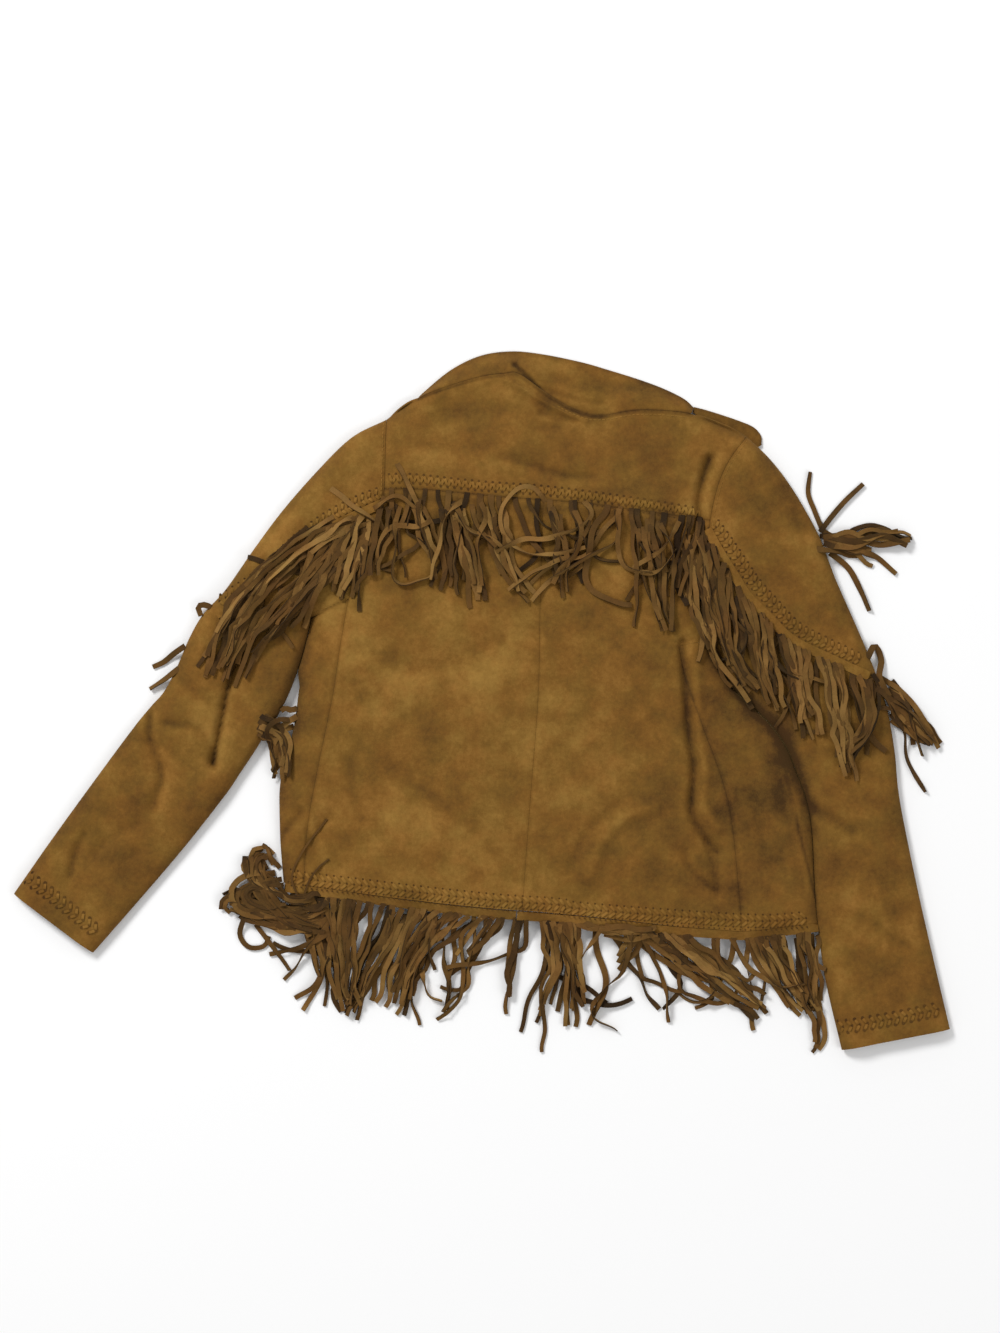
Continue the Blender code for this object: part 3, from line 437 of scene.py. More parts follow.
def upper(xy, depth=0.0):
    """Height of the upper side, or of the layer this deep inside it, rolled over at the folds."""
    xy = np.asarray(xy, float)
    edge = read(edge_field, xy)
    close = edge < EDGE_BAND
    if close.any():
        edge = np.where(close, 0, edge)
        edge[close] = distance(xy[close], outline)
    share = np.clip((edge - depth) / (ROLL - depth), 0, 1)
    return FOLD + (read(crown_field, xy) - depth - FOLD) * np.sqrt(1 - (1 - share) ** 2)


def under(xy):
    """Height of the lower side, which lifts off the floor at the shoulder seams."""
    share = np.clip(distance(xy, outline[-2:]) / SHOULDER_LIFT, 0, 1)
    return SHOULDER_LIFT * (1 - np.sqrt(1 - (1 - share) ** 2))


print("height of the middle back", round(float(upper(np.zeros((1, 2)))[0]), 1), "mm")

# %% [markdown]
# The plan of a panel is ruled between its four edges and stops short of each by half a seam. One
# side of the suede follows the height of the jacket, and the other lies one thickness away along
# the normal. A plain shift in height would make the suede too thin wherever it slopes.

# %% Plans and thickness of panels
SLOPE_REACH = 1.5


def thick(xy, height, depth):
    """Points on a surface, moved by depth along its normal."""
    slopes = []
    for shift in SLOPE_REACH * np.eye(2):
        slopes.append((height(xy + shift) - height(xy - shift)) / (2 * SLOPE_REACH))
    normal = np.stack([-slopes[0], -slopes[1], np.ones(slopes[0].shape)], -1)
    normal /= np.linalg.norm(normal, axis=-1, keepdims=True)
    return raised(xy, height(xy)) - depth[..., None] * normal


def patch(bottom, top, left, right, seam=SEAM):
    """Plan of a four-edged piece, short of its edges by half a seam."""
    corners = [np.asarray(edge(np.float64(end))) for edge in (bottom, top) for end in (0, 1)]

    def plan(u, v):
        wide = np.linalg.norm(right(v) - left(v), axis=-1)
        tall = np.linalg.norm(top(u) - bottom(u), axis=-1)
        u = seam / 2 / wide + u * (1 - seam / wide)
        v = seam / 2 / tall + v * (1 - seam / tall)
        a, b = u[..., None], v[..., None]
        ruled = (1 - b) * bottom(u) + b * top(u) + (1 - a) * left(v) + a * right(v)
        low = (1 - a) * corners[0] + a * corners[1]
        high = (1 - a) * corners[2] + a * corners[3]
        return ruled - (1 - b) * low - b * high

    return plan


def top_piece(plan):
    return lambda u, v, w: thick(plan(u, v), upper, w * WALL)


def floor_piece(plan):
    return lambda u, v, w: thick(plan(u, v), under, -w * WALL)


print("two panels lie", SEAM, "mm apart")

# %% [markdown]
# A panel is cut flat, so each one starts as a flat slab in shares of its width, length and
# thickness. A grid and one extrusion make the slab, and every corner is then carried to its place
# on the jacket. A sleeve's slab is left open at its sides and closes into a tube.

# %% Slabs of suede
END_FACE = 0.4999


def thicken(bm, verts, wall):
    """Gives a flat shape a wall upwards. Returns the new points."""
    faces = list(dict.fromkeys(face for vert in verts for face in vert.link_faces))
    grown = bmesh.ops.extrude_face_region(bm, geom=faces, use_keep_orig=True)
    lifted = [item for item in grown["geom"] if isinstance(item, bmesh.types.BMVert)]
    bmesh.ops.translate(bm, verts=lifted, vec=(0, 0, wall))
    return lifted


def slab(bm, columns, rows, tube=False):
    """A flat slab in shares u, v and w, open along u where it is to close into a tube."""
    made = bmesh.ops.create_grid(bm, x_segments=columns, y_segments=rows, size=0.5)["verts"]
    bmesh.ops.translate(bm, verts=made, vec=(0.5, 0.5, 0))
    lifted = thicken(bm, made, 1)
    if tube:
        ends = [face for face in bm.faces if abs(face.calc_center_median().x - 0.5) > END_FACE]
        bmesh.ops.delete(bm, geom=ends, context="FACES")
    return made + lifted


def shape(verts, place):
    """Carries the points of a slab to the place that belongs to their shares."""
    shares = np.array([vert.co for vert in verts])
    for vert, point in zip(verts, place(shares[:, 0], shares[:, 1], shares[:, 2]) * MM):
        vert.co = point
    return shares


trial = bmesh.new()
print("a slab of 2 by 3 cells has", len(slab(trial, 2, 3)), "points")
trial.free()

# %% [markdown]
# Each piece keeps the shade of its suede as an attribute, so that patches of tone, dark seams and
# the painted shade and highlights follow the leather. The shade is 0.5 for the plain colour, more
# where the suede is lighter or a highlight is painted, and less in seams and where shade is painted
# into hollows, folds and the rolled sides.

# %% Patches of tone and of painted shade: x, y, radius across, radius down, lightness
TONE_AND_SHADE_PATCHES = (
    (80, 262, 170, 40, -0.12), (-330, -60, 90, 130, -0.07), (340, 0, 70, 200, -0.09),
    (230, -60, 40, 120, -0.13), (170, 225, 60, 40, -0.08), (300, -62, 11, 52, -0.20),
    (60, 250, 120, 40, -0.05), (20, 0, 120, 90, -0.03), (0, 245, 42, 20, 0.14),
    (150, 232, 50, 20, 0.05), (70, 262, 60, 14, -0.10), (-60, 262, 40, 18, 0.08),
    (20, 20, 70, 60, 0.12), (-70, -110, 70, 45, 0.12), (120, 90, 60, 40, -0.04),
    (150, 20, 60, 60, 0.04), (60, -150, 60, 30, -0.08), (180, -120, 60, 70, -0.10),
    (230, -170, 40, 50, -0.14), (-110, 60, 30, 90, 0.06), (290, -100, 40, 90, -0.24),
    (-190, 0, 24, 100, -0.16), (-150, 230, 40, 60, 0.04), (-200, 150, 40, 40, 0.16),
    (290, 190, 36, 36, -0.12), (330, 120, 36, 40, -0.06), (260, 240, 26, 30, 0.06),
    (400, -200, 30, 90, -0.02), (360, -240, 24, 60, 0.12), (-290, -20, 40, 50, 0.04),
    (-370, -110, 46, 56, -0.04), (-420, -190, 40, 40, -0.10), (60, 340, 90, 10, 0.04),
    (150, 318, 60, 12, -0.10), (-20, 330, 40, 14, 0.02), (-100, -170, 80, 10, 0.06),
)
print(len(TONE_AND_SHADE_PATCHES), "patches of lighter or darker suede")

# %% [markdown]
# The shade is a second map like the one of heights. It adds up the patches, a cloudy unevenness, a
# dark line at each seam, partly a dark seam and partly a painted shadow, with a lighter rim beside
# it, painted shade in the bed of each fold and a painted highlight on its ridges, a painted shadow
# under the roots of the yoke fringe, painted shade where the suede rolls over at the outline, and a
# painted shadow in the groove beside the right sleeve and along the left fold. Panels, stitches and
# strips all read the same map, so a patch runs on across a seam as it does on worn leather.

# %% Shade of the suede over the plan
PLAIN_SHADE = 0.5
SEAM_LINE, RIM_INNER, RIM_OUTER, RIM_SHARE = 1.3, 3, 5, 0.25
FOLD_PAINTED_SHADE, FOLD_PAINTED_HIGHLIGHT = 0.068, 0.03
FRINGE_PAINTED_SHADOW, OUTLINE_PAINTED_SHADE = 0.20, 0.10
shade_field = np.full(across_field.shape, PLAIN_SHADE)
# Some patches are lighter or darker tone of the hide, others painted shade on the sides, by the
# folds and beside the right sleeve.
for px, py, rx, ry, amount in TONE_AND_SHADE_PATCHES:
    away = ((across_field - px) / rx) ** 2
    shade_field += amount * np.exp(-away - ((down_field - py) / ry) ** 2)
for size, cell, seed in ((0.10, 38, 21), (0.08, 16, 22), (0.05, 7, 23)):
    shade_field += size * noise(field_points, cell, seed)
# Each seam gets a dark line, partly a dark seam and partly a painted shadow in it, and a lighter
# rim beside it.
for dip, painted_dark, lines in seams:
    shade_field -= painted_dark * trough(lines, SEAM_LINE)
    shade_field += RIM_SHARE * painted_dark * (trough(lines, RIM_OUTER) - trough(lines, RIM_INNER))
# Painted shade in the bed of each fold and a painted highlight on the ridges beside it; a fold of
# negative depth is a ridge and is painted lighter.
for depth, half, line in fold_lines:
    shade_field -= FOLD_PAINTED_SHADE * depth * trough([line], 0.65 * half)
    shade_field += FOLD_PAINTED_HIGHLIGHT * depth * trough([line], 2 * half)
# A painted shadow under the roots of the yoke fringe.
shade_field -= FRINGE_PAINTED_SHADOW * trough([yoke_low - (0, 8)], 6)
# Painted shade where the suede rolls over towards the folds of the outline.
shade_field -= OUTLINE_PAINTED_SHADE * (1 - smooth(edge_field / 12))
# Painted shadow in the groove between the right side panel and the sleeve, and a weaker painted
# shadow along the left fold.
groove = [right_fold[: len(right_fold) * 3 // 4]]
for painted_dark, lines, half in ((0.28, groove, 8), (0.30, groove, 3), (0.10, [left_fold], 7)):
    shade_field -= painted_dark * trough(lines, half)


def shade(xy):
    """Lightness of the suede over the plan with its painted shade and highlights, 0.5 where it is
    plain.
    """
    return read(shade_field, xy)


print("shade from", round(float(shade_field.min()), 2), "to", round(float(shade_field.max()), 2))

# %% [markdown]
# Every piece ends the same way: its faces turn outwards, edges over 50 degrees stay sharp as cut
# leather does, and the rest is shaded smooth. Then it takes its material and its shade, hides the
# solid it stands for, and rides on the jacket.

# %% Finishing a piece
SHARP = math.radians(50)


def plan_of(mesh):
    points = np.empty(len(mesh.vertices) * 3)
    mesh.vertices.foreach_get("co", points)
    return points.reshape(-1, 3) / MM


def finish(bm, name, materials, stands_for, tone=None):
    """Closes a mesh, turns its faces outwards and puts it on the jacket."""
    bmesh.ops.recalc_face_normals(bm, faces=bm.faces)
    if bm.calc_volume(signed=True) < 0:
        bmesh.ops.reverse_faces(bm, faces=bm.faces)
    for face in bm.faces:
        face.smooth = True
    for edge in bm.edges:
        edge.smooth = edge.calc_face_angle(0) < SHARP
    mesh = bpy.data.meshes.new(name)
    bm.to_mesh(mesh)
    bm.free()
    obj = in_scene(name, mesh)
    for layer in materials:
        mesh.materials.append(layer)
    if tone is not None:
        values = np.clip(tone(plan_of(mesh)), 0, 1).astype(np.float32)
        mesh.attributes.new("shade", "FLOAT", "POINT").data.foreach_set("value", values)
    if stands_for:
        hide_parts(*stands_for)
    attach(obj, "root")
    print(name, len(mesh.polygons), "faces")
    return obj

# %% [markdown]
# Suede has a napped face: it scatters light softly, glows a little at grazing angles, and shows a
# cloudy mottle where the nap lies different ways. The shader uses a rough base with a sheen, a
# colour that slides between three browns by the painted shade, and a very fine bump for the nap.

# %% Helpers for shader nodes
SUEDE_DARK = (0.0526, 0.0234, 0.0050, 1)
SUEDE_PLAIN = (0.181, 0.0862, 0.0144, 1)
SUEDE_LIGHT = (0.347, 0.183, 0.0415, 1)
SUEDE_SHADES = ((0.0, SUEDE_DARK), (0.5, SUEDE_PLAIN), (1.0, SUEDE_LIGHT))
REDDER, GREENER = (0.98, 0.92, 0.85, 1), (0.925, 0.965, 0.89, 1)
CLOUD_ROUGHNESS = 0.6


def ramp(tree, factor, stops):
    node = tree.nodes.new("ShaderNodeValToRGB")
    elements = node.color_ramp.elements
    elements[0].position, elements[0].color = stops[0]
    elements[1].position, elements[1].color = stops[-1]
    for position, colour in stops[1:-1]:
        elements.new(position).color = colour
    tree.links.new(factor, node.inputs["Fac"])
    return node.outputs["Color"]


def clouds(tree, scale, detail):
    node = tree.nodes.new("ShaderNodeTexNoise")
    node.inputs["Scale"].default_value = scale
    node.inputs["Detail"].default_value = detail
    node.inputs["Roughness"].default_value = CLOUD_ROUGHNESS
    tree.links.new(tree.nodes["place"].outputs["Object"], node.inputs["Vector"])
    return node.outputs["Fac"]


def combine(tree, kind, first, second):
    node = tree.nodes.new("ShaderNodeMath")
    node.operation = kind
    for socket, value in zip(node.inputs, (first, second)):
        if isinstance(value, (int, float)):
            socket.default_value = value
        else:
            tree.links.new(value, socket)
    return node.outputs["Value"]


print("suede slides between", len(SUEDE_SHADES), "browns")

# %% [markdown]
# The suede adds three sizes of cloud to the painted shade: the broad mottle of the hide, its fine
# mottle and the grain of the nap. The sum picks a brown, a second cloud leans it to red or green,
# and a low sheen in the colour of straw gives the soft glow of nap. The base stays very rough.

# %% Suede
GRAIN, NAP_BUMP, NAP_DEPTH = 0.35, 0.35, 0.0006
NAP_LOOK = {
    "Roughness": 0.92,
    "Specular IOR Level": 0.18,
    "Sheen Weight": 0.2,
    "Sheen Roughness": 0.45,
    "Sheen Tint": (0.62, 0.42, 0.14, 1),
}


def suede(name, shades=SUEDE_SHADES, mottle=0.8):
    """A napped leather whose colour follows the attribute called shade."""
    material = bpy.data.materials.new(name)
    material.use_nodes = True
    tree = material.node_tree
    shader = tree.nodes["Principled BSDF"]
    place = tree.nodes.new("ShaderNodeTexCoord")
    place.name = "place"
    tone = tree.nodes.new("ShaderNodeAttribute")
    tone.attribute_name = "shade"
    value = tone.outputs["Fac"]
    for scale, detail, strength in ((26, 5, mottle), (240, 4, 0.5 * mottle), (1400, 2, GRAIN)):
        swing = combine(tree, "SUBTRACT", clouds(tree, scale, detail), 0.5)
        value = combine(tree, "ADD", value, combine(tree, "MULTIPLY", swing, strength))
    colour = tree.nodes.new("ShaderNodeMix")
    colour.data_type, colour.blend_type = "RGBA", "MULTIPLY"
    colour.inputs[0].default_value = 1.0
    hue = ramp(tree, clouds(tree, 34, 4), ((0.38, REDDER), (0.62, GREENER)))
    tree.links.new(ramp(tree, value, shades), colour.inputs[6])
    tree.links.new(hue, colour.inputs[7])
    tree.links.new(colour.outputs[2], shader.inputs["Base Color"])
    for socket, setting in NAP_LOOK.items():
        shader.inputs[socket].default_value = setting
    bump = tree.nodes.new("ShaderNodeBump")
    bump.inputs["Strength"].default_value = NAP_BUMP
    bump.inputs["Distance"].default_value = NAP_DEPTH
    nap = combine(tree, "ADD", clouds(tree, 900, 3), clouds(tree, 160, 3))
    tree.links.new(nap, bump.inputs["Height"])
    tree.links.new(bump.outputs["Normal"], shader.inputs["Normal"])
    print(name, "from", len(shades), "browns")
    return material


body_suede = suede("golden_suede")

# %% [markdown]
# The back is cut as a yoke, two centre panels and two side panels. The side panels roll over the
# fold of the laid-out jacket and carry on a little way underneath, where they meet the fronts.

# %% Yoke and centre back
CELL = 2.8
# Painted shade on suede that rolls down towards the floor: how dark, below what height, over what
# fade.
LOW_PAINTED_SHADE, LOW, LOW_FADE = 0.25, 9, 8
SIDE_SHARE = 13 / 18


def cells(size):
    return max(2, round(size / CELL))


def tone_above(points):
    """The shade of the upper side, with painted shade where the suede rolls down to the floor."""
    return shade(points[:, :2]) - LOW_PAINTED_SHADE * smooth((LOW - points[:, 2]) / LOW_FADE)


BODY_PAINT = ("body_suede", body_suede)


def panel(name, node, place, columns, rows, tube=False, tone=tone_above, paint=BODY_PAINT):
    """A piece of suede: a slab carried to its place, painted, and set in for its solid."""
    bm = bmesh.new()
    shape(slab(bm, columns, rows, tube), place)
    if tube:
        bmesh.ops.remove_doubles(bm, verts=bm.verts, dist=1e-6)
    slot, material = paint
    finish(bm, name, (material,), (node,), tone)


yoke_left = along(stretch(arm_left, (-97, 218), (-95, 288)))
yoke_right = along(stretch(arm_right, (227, 187), (264, 271)))
yoke_plan = patch(along(yoke_seam), along(neck_line), yoke_left, yoke_right)
panel("suede_yoke", "yoke_back", top_piece(yoke_plan), 190, 50)

hem_left, hem_right = stretch(hem, (-177, -176), (40, -202)), stretch(hem, (40, -202), (259, -222))
seam_left = stretch(yoke_seam, (-97, 218), (61, 207))
seam_right = stretch(yoke_seam, (61, 207), (227, 187))
middle = centre_back[::-1]
arm_rise = stretch(arm_left, (-133, 108), (-97, 218))
left_edge = chained(back_seam_left[::-1], arm_rise, SIDE_SHARE)
plan = patch(along(hem_left), along(seam_left), left_edge, along(middle))
panel("suede_back_left", "back_left", top_piece(plan), cells(218), cells(410))

arm_under_yoke = stretch(arm_right, (227.5, 68), (227, 187))
arm_rise = np.vstack([back_seam_right[:1], arm_under_yoke])
right_edge = chained(back_seam_right[::-1], arm_rise, SIDE_SHARE)
plan = patch(along(hem_right), along(seam_right), along(middle), right_edge)
panel("suede_back_right", "back_right", top_piece(plan), cells(200), cells(410))

# %% [markdown]
# A side panel runs from its back seam over the side fold and a short way under. Its section has
# three parts: a top that follows the height map, a quarter round at the fold, and a flat on the
# floor. Where a section crosses the fold at a slant its sizes are stretched to match.

# %% Side panels
def skew(along_fold, across):
    """How far a section's sizes stretch where it crosses its fold at a slant."""
    sine = np.abs(along_fold[..., 0] * across[..., 1] - along_fold[..., 1] * across[..., 0])
    sine = sine / np.linalg.norm(along_fold, axis=-1) / np.linalg.norm(across, axis=-1)
    return np.minimum(1 / np.maximum(sine, 1e-6), MOST_SKEW)[..., None]


def fold_sections(seam_line, fold_line, v):
    """Points on a fold, the way from each to its seam, and how far under the panel reaches."""
    fold, seam = at(fold_line, v), at(seam_line, v)
    ahead = at(fold_line, np.minimum(v + 0.01, 1)) - at(fold_line, np.maximum(v - 0.01, 0))
    across = seam - fold
    k = skew(ahead, across)
    return fold, across, k, np.maximum(TURN_UNDER, FOLD * k + 2)


def side_section(seam_line, fold_line, counts):
    """How a side panel's slab is placed, its columns, and its edge on the floor."""
    tops, arcs, floors = counts
    total = tops + arcs + floors

    def place(u, v, w):
        station = np.rint(u * total).astype(int)
        depth = w * WALL
        fold, across, k, reach = fold_sections(seam_line, fold_line, v)
        k, reach = k[..., 0], reach[..., 0]
        width = np.linalg.norm(across, axis=-1)
        edge = width - SEAM / 2 * k
        s = depth * k + (edge - depth * k) * (1 - np.sin(np.pi / 2 * np.clip(station / tops, 0, 1)))
        turn = np.clip((station - tops) / arcs, 0, 1) * math.pi / 2
        radius = FOLD - depth
        s = np.where(station > tops, (FOLD - radius * np.cos(turn)) * k, s)
        run = np.clip((station - tops - arcs) / floors, 0, 1)
        s = np.where(station > tops + arcs, (1 - run) * FOLD * k + run * (reach - SEAM / 2), s)
        xy = fold + (s / width)[..., None] * across
        z = upper(xy, depth)
        z = np.where(station == tops, FOLD, z)
        z = np.where(station > tops, FOLD - radius * np.sin(turn), z)
        return raised(xy, z)

    fold, across, _, reach = fold_sections(seam_line, fold_line, np.linspace(0, 1, 60))
    floor_edge = fold + across / np.linalg.norm(across, axis=-1, keepdims=True) * reach
    return place, total, floor_edge


place, columns, under_left = side_section(back_seam_left, left_fold, (14, 6, 5))
panel("suede_side_left", "side_left", place, columns, cells(270))
place, columns, under_right = side_section(back_seam_right, right_fold, (26, 6, 5))
panel("suede_side_right", "side_right", place, columns, cells(290))

# %% [markdown]
# The two fronts are under the jacket and lie flat on the floor. Nothing of them shows from above,
# so each is one plain panel from its armhole and side to the front edge.

# %% Fronts
FRONT_SEAM = 1.0
front_edge = np.array(FRONT_EDGE, float)
front_hem = curve(np.array((under_left[-1] + (0, 3), (-60, -188), (20, -196), (66, -203))))
outer_edge = chained(under_left[::-1], stretch(armhole_left, under_left[0], (-95, 288)), 0.6)
left_neck, right_neck = along(curve(LEFT_NECK)), along(curve(RIGHT_NECK))
front_plan = patch(along(front_hem), left_neck, outer_edge, along(front_edge), FRONT_SEAM)
panel("suede_front_left", "front_left", floor_piece(front_plan), 30, 70)

front_hem = curve(np.array(((66, -203), (150, -209), (240, -217), under_right[-1] + (0, 3))))
armhole_rise = np.vstack([under_right[:1], stretch(arm_right, (227.5, 68), (264, 271))])
outer_edge = chained(under_right[::-1], armhole_rise, 0.6)
front_plan = patch(along(front_hem), right_neck, along(front_edge), outer_edge, FRONT_SEAM)
panel("suede_front_right", "front_right", floor_piece(front_plan), 30, 70)

# %% [markdown]
# A sleeve is one piece of suede closed along its length. Laid flat it is a wide, shallow tube,
# rolled at both edges and flat where it rests. Its first rows bow to follow the armhole.

# %% Sleeves
def sleeve_tube(rows, armhole, counts):
    """A sleeve: sections from outer to inner fold, rolled at both and flat on the floor."""
    tops, arcs, floors = counts
    total = tops + 2 * arcs + floors

    def place(u, v, w):
        station = np.rint(u * total).astype(int) % total
        depth = w * WALL
        v = v**ROW_EASE * (1 - SEAM / 400) + SEAM / 400
        row = spline(rows, v)
        ahead = spline(rows, np.minimum(v + 0.01, 1)) - spline(rows, np.maximum(v - 0.01, 0))
        outer, inner, bow = row[..., :2], row[..., 2:4], row[..., 4:5]
        across = inner - outer
        width = np.linalg.norm(across, axis=-1)
        k_out, k_in = skew(ahead[..., :2], across)[..., 0], skew(ahead[..., 2:4], across)[..., 0]
        share = np.clip(station / tops, 0, 1)
        swing = (1 - np.cos(np.pi * share)) / 2
        s = depth * k_out + (width - depth * (k_out + k_in)) * swing
        second = np.clip((station - tops) / arcs, 0, 1) * math.pi / 2
        third = np.clip((station - tops - arcs) / floors, 0, 1)
        fourth = np.clip((station - tops - arcs - floors) / arcs, 0, 1) * math.pi / 2
        radius = FOLD - depth
        s = np.where(station > tops, width - (FOLD - radius * np.cos(second)) * k_in, s)
        flat = (1 - third) * (width - FOLD * k_in) + third * FOLD * k_out
        s = np.where(station > tops + arcs, flat, s)
        last = station > tops + arcs + floors
        s = np.where(last, (FOLD - radius * np.sin(fourth)) * k_out, s)
        f = (s / width)[..., None]
        first_row = np.asarray(rows[0], float)
        bowed = armhole(f[..., 0]) - ((1 - f) * first_row[:2] + f * first_row[2:4])
        xy = outer + f * across + bow * bowed
        z = upper(xy, depth)
        z = np.where((station == 0) | (station == tops), FOLD, z)
        z = np.where(station > tops, FOLD - radius * np.sin(second), z)
        z = np.where(station >= tops + arcs, depth, z)
        z = np.where(last, FOLD - radius * np.cos(fourth), z)
        return raised(xy, z)

    return place, total


SLEEVE_COLUMNS, SLEEVE_CELLS = (56, 6, 14), 210
sleeves = {"left": (SLEEVE_LEFT, armhole_left), "right": (SLEEVE_RIGHT, arm_right)}
for side, (rows, armhole) in sleeves.items():
    place, columns = sleeve_tube(rows, along(armhole), SLEEVE_COLUMNS)
    panel("suede_sleeve_" + side, "sleeve_" + side, place, columns, SLEEVE_CELLS, tube=True)

# %% [markdown]
# The collar is turned up past the neck, so its under side shows. It is two layers of suede with a
# soft turned edge, it drops from the neck seam to the floor, and it has one deep crease beside
# the middle. It could be hung as cloth by a simulation, but a placed shape comes out the same
# each time.

# %% Collar
COLLAR_WALL = 2.6
CREASE_PAINTED_SHADE, NECK_PAINTED_SHADOW, RIM_PAINTED_SHADE = 0.12, 0.30, 0.20
COLLAR_CREASES = (
    (3.4, 2.8, ((33, 342), (44, 331), (55, 319))),
    (1.0, 2.6, ((57, 318), (82, 312), (98, 307), (120, 304))),
    (1.2, 6, ((70, 330), (96, 324), (130, 316))),
    (1.0, 5, ((100, 338), (120, 326), (150, 320))),
    (1.2, 6, ((-30, 328), (-5, 336), (20, 338))),
)
collar_creases = [(depth, half, curve(line)) for depth, half, line in COLLAR_CREASES]
collar_edge, collar_root = curve(COLLAR_EDGE), neck + (0, 0.4)


def between(root, edge):
    """The plan of a flap from its root to its edge, with straight ends."""
    ends = [along(np.array((root[k], edge[k]))) for k in (0, -1)]
    return patch(along(root), along(edge), *ends)


collar_plan = between(collar_root, collar_edge)


def pit(points, line, half):
    return np.exp(-((distance(points, [line]) / half) ** 2))


def collar_place(u, v, w):
    xy = collar_plan(u, v)
    at_neck = upper(at(neck, u)) - 0.4
    drop = np.cos(np.pi / 2 * v) ** 1.25 * (1 + 0.25 * np.sin(np.pi * v))
    z = COLLAR_WALL + 0.1 + (at_neck - COLLAR_WALL) * drop
    z = z + 0.5 * noise(xy, 34, 4) * np.sin(np.pi * v)
    for depth, half, line in collar_creases:
        z = z - depth * pit(xy, line, half) * smooth((1 - v) * 6)
    edge = 1 - np.sqrt(1 - np.clip((v - 0.88) / 0.12, 0, 1) ** 2)
    low, high = z - COLLAR_WALL, z - 1.1 * edge
    z = np.maximum(np.where(w > 0.5, low + 0.2 * edge, high), 0)
    return raised(xy, z)


# The collar and lapel shade: painted shade in the creases, a painted shadow along the neck seam
# under the collar, and painted shade on the rolled rim of the edge.
def collar_tone(points):
    plan = points[:, :2]
    value = shade(plan) - 0.02
    for depth, half, line in collar_creases:
        value = value - CREASE_PAINTED_SHADE * depth * pit(plan, line, half)
    value = value - NECK_PAINTED_SHADOW * pit(plan, neck, 2.0)
    rim = distance(plan, [collar_edge, lapel_edge])
    return value - RIM_PAINTED_SHADE * np.exp(-((rim / 3.5) ** 2))


lapel_edge, lapel_root = curve(LAPEL_EDGE), curve(LAPEL_ROOT)
collar_look = {"paint": ("collar_suede", suede("collar_suede")), "tone": collar_tone}
panel("suede_collar", "collar", collar_place, 150, 34, **collar_look)

# %% [markdown]
# The tip of the lapel is the one part of the front that shows past the shoulder. It lies flat on
# the floor, doubled like the collar, and its edge is rounded where the two layers turn.

# %% Lapel
lapel_plan = between(lapel_root, lapel_edge)


def lapel_place(u, v, w):
    edge = 1 - np.sqrt(1 - np.clip((v - 0.7) / 0.3, 0, 1) ** 2)
    z = np.where(w > 0.5, 2.6 - 1.2 * edge, 0.1)
    return raised(lapel_plan(u, v), z)


panel("suede_lapel", "lapel_right", lapel_place, 50, 14, **collar_look)

# %% [markdown]
# Thongs, stitches and strands are all strips cut from suede. One helper makes them all: a slab
# carried along a row of points, with painted shade on its cut edges, for the shadow along the sides
# of a strip. The shade is kept for each corner of a face, so that the edge can be dark and the face
# beside it light.

# %% Ribbons
# The cut edges of a strip get this much painted shade, for the shadow along its sides.
EDGE_PAINTED_SHADE = 0.50


def ribbon(bm, middle, across, up, width, wall, tone=0.5, material=0):
    """A flat strip of suede along a row of points, its ends closed and painted shade on its cut
    edges.
    """
    count = len(middle) - 1
    verts = slab(bm, 1, count)
    shares = np.array([vert.co for vert in verts])
    step = np.rint(shares[:, 1] * count).astype(int)
    half = np.broadcast_to(np.asarray(width, float) / 2, (count + 1,))
    points = middle[step] + across[step] * (half[step] * (2 * shares[:, 0] - 1))[:, None]
    points = points + up[step] * (wall * (shares[:, 2] - 0.5))[:, None]
    tones = np.broadcast_to(np.asarray(tone, float), (count + 1,))
    layer = bm.loops.layers.float.get("shade") or bm.loops.layers.float.new("shade")
    levels = {vert: (share[2] > 0.5, tones[k]) for vert, share, k in zip(verts, shares, step)}
    for face in {face for vert in verts for face in vert.link_faces}:
        cut = len({levels[vert][0] for vert in face.verts}) == 2
        face.material_index = material
        for loop in face.loops:
            loop[layer] = max(0.0, levels[loop.vert][1] - EDGE_PAINTED_SHADE * cut)
    for vert, point in zip(verts, points * MM):
        vert.co = point
    return verts


def unit_steps(path):
    ahead = np.gradient(path, axis=0)
    return ahead / np.maximum(np.linalg.norm(ahead, axis=1, keepdims=True), 1e-9)


def sides_of(path):
    """Unit vectors ahead along a plan path and to its left."""
    ahead = unit_steps(path)
    return ahead, np.stack([-ahead[:, 1], ahead[:, 0]], -1)


def offset(line, amount):
    """A line moved sideways by so many millimetres, to the left of its own direction."""
    return line + sides_of(line)[1] * amount


print("cut edges are", EDGE_PAINTED_SHADE, "darker than the nap")

# %% [markdown]
# The yoke, the sleeve caps, the hem and the cuffs are laced by hand with a flat thong that goes in
# and out of punched holes. Each stitch is a short ribbon that rises over the suede and dives into
# a hole at both ends, with painted shade on the ends where they dive. A hole is a small disc
# painted dark, a painted shadow for the depth of the hole, let into the surface, as a real one
# would need to be cut through every fold of a fine mesh.

# %% Stitches and holes
THONG, THONG_WALL, THONG_LIFT, THONG_DIVE = 2.7, 0.9, 0.8, 0.7
HOLE, HOLE_WALL, HOLE_SINK, HOLE_PAINTED_SHADOW = 1.3, 0.9, 0.72, 0.10
STITCH_POINTS, STITCH_REACH = 7, 0.84
holes, stitches = bmesh.new(), bmesh.new()


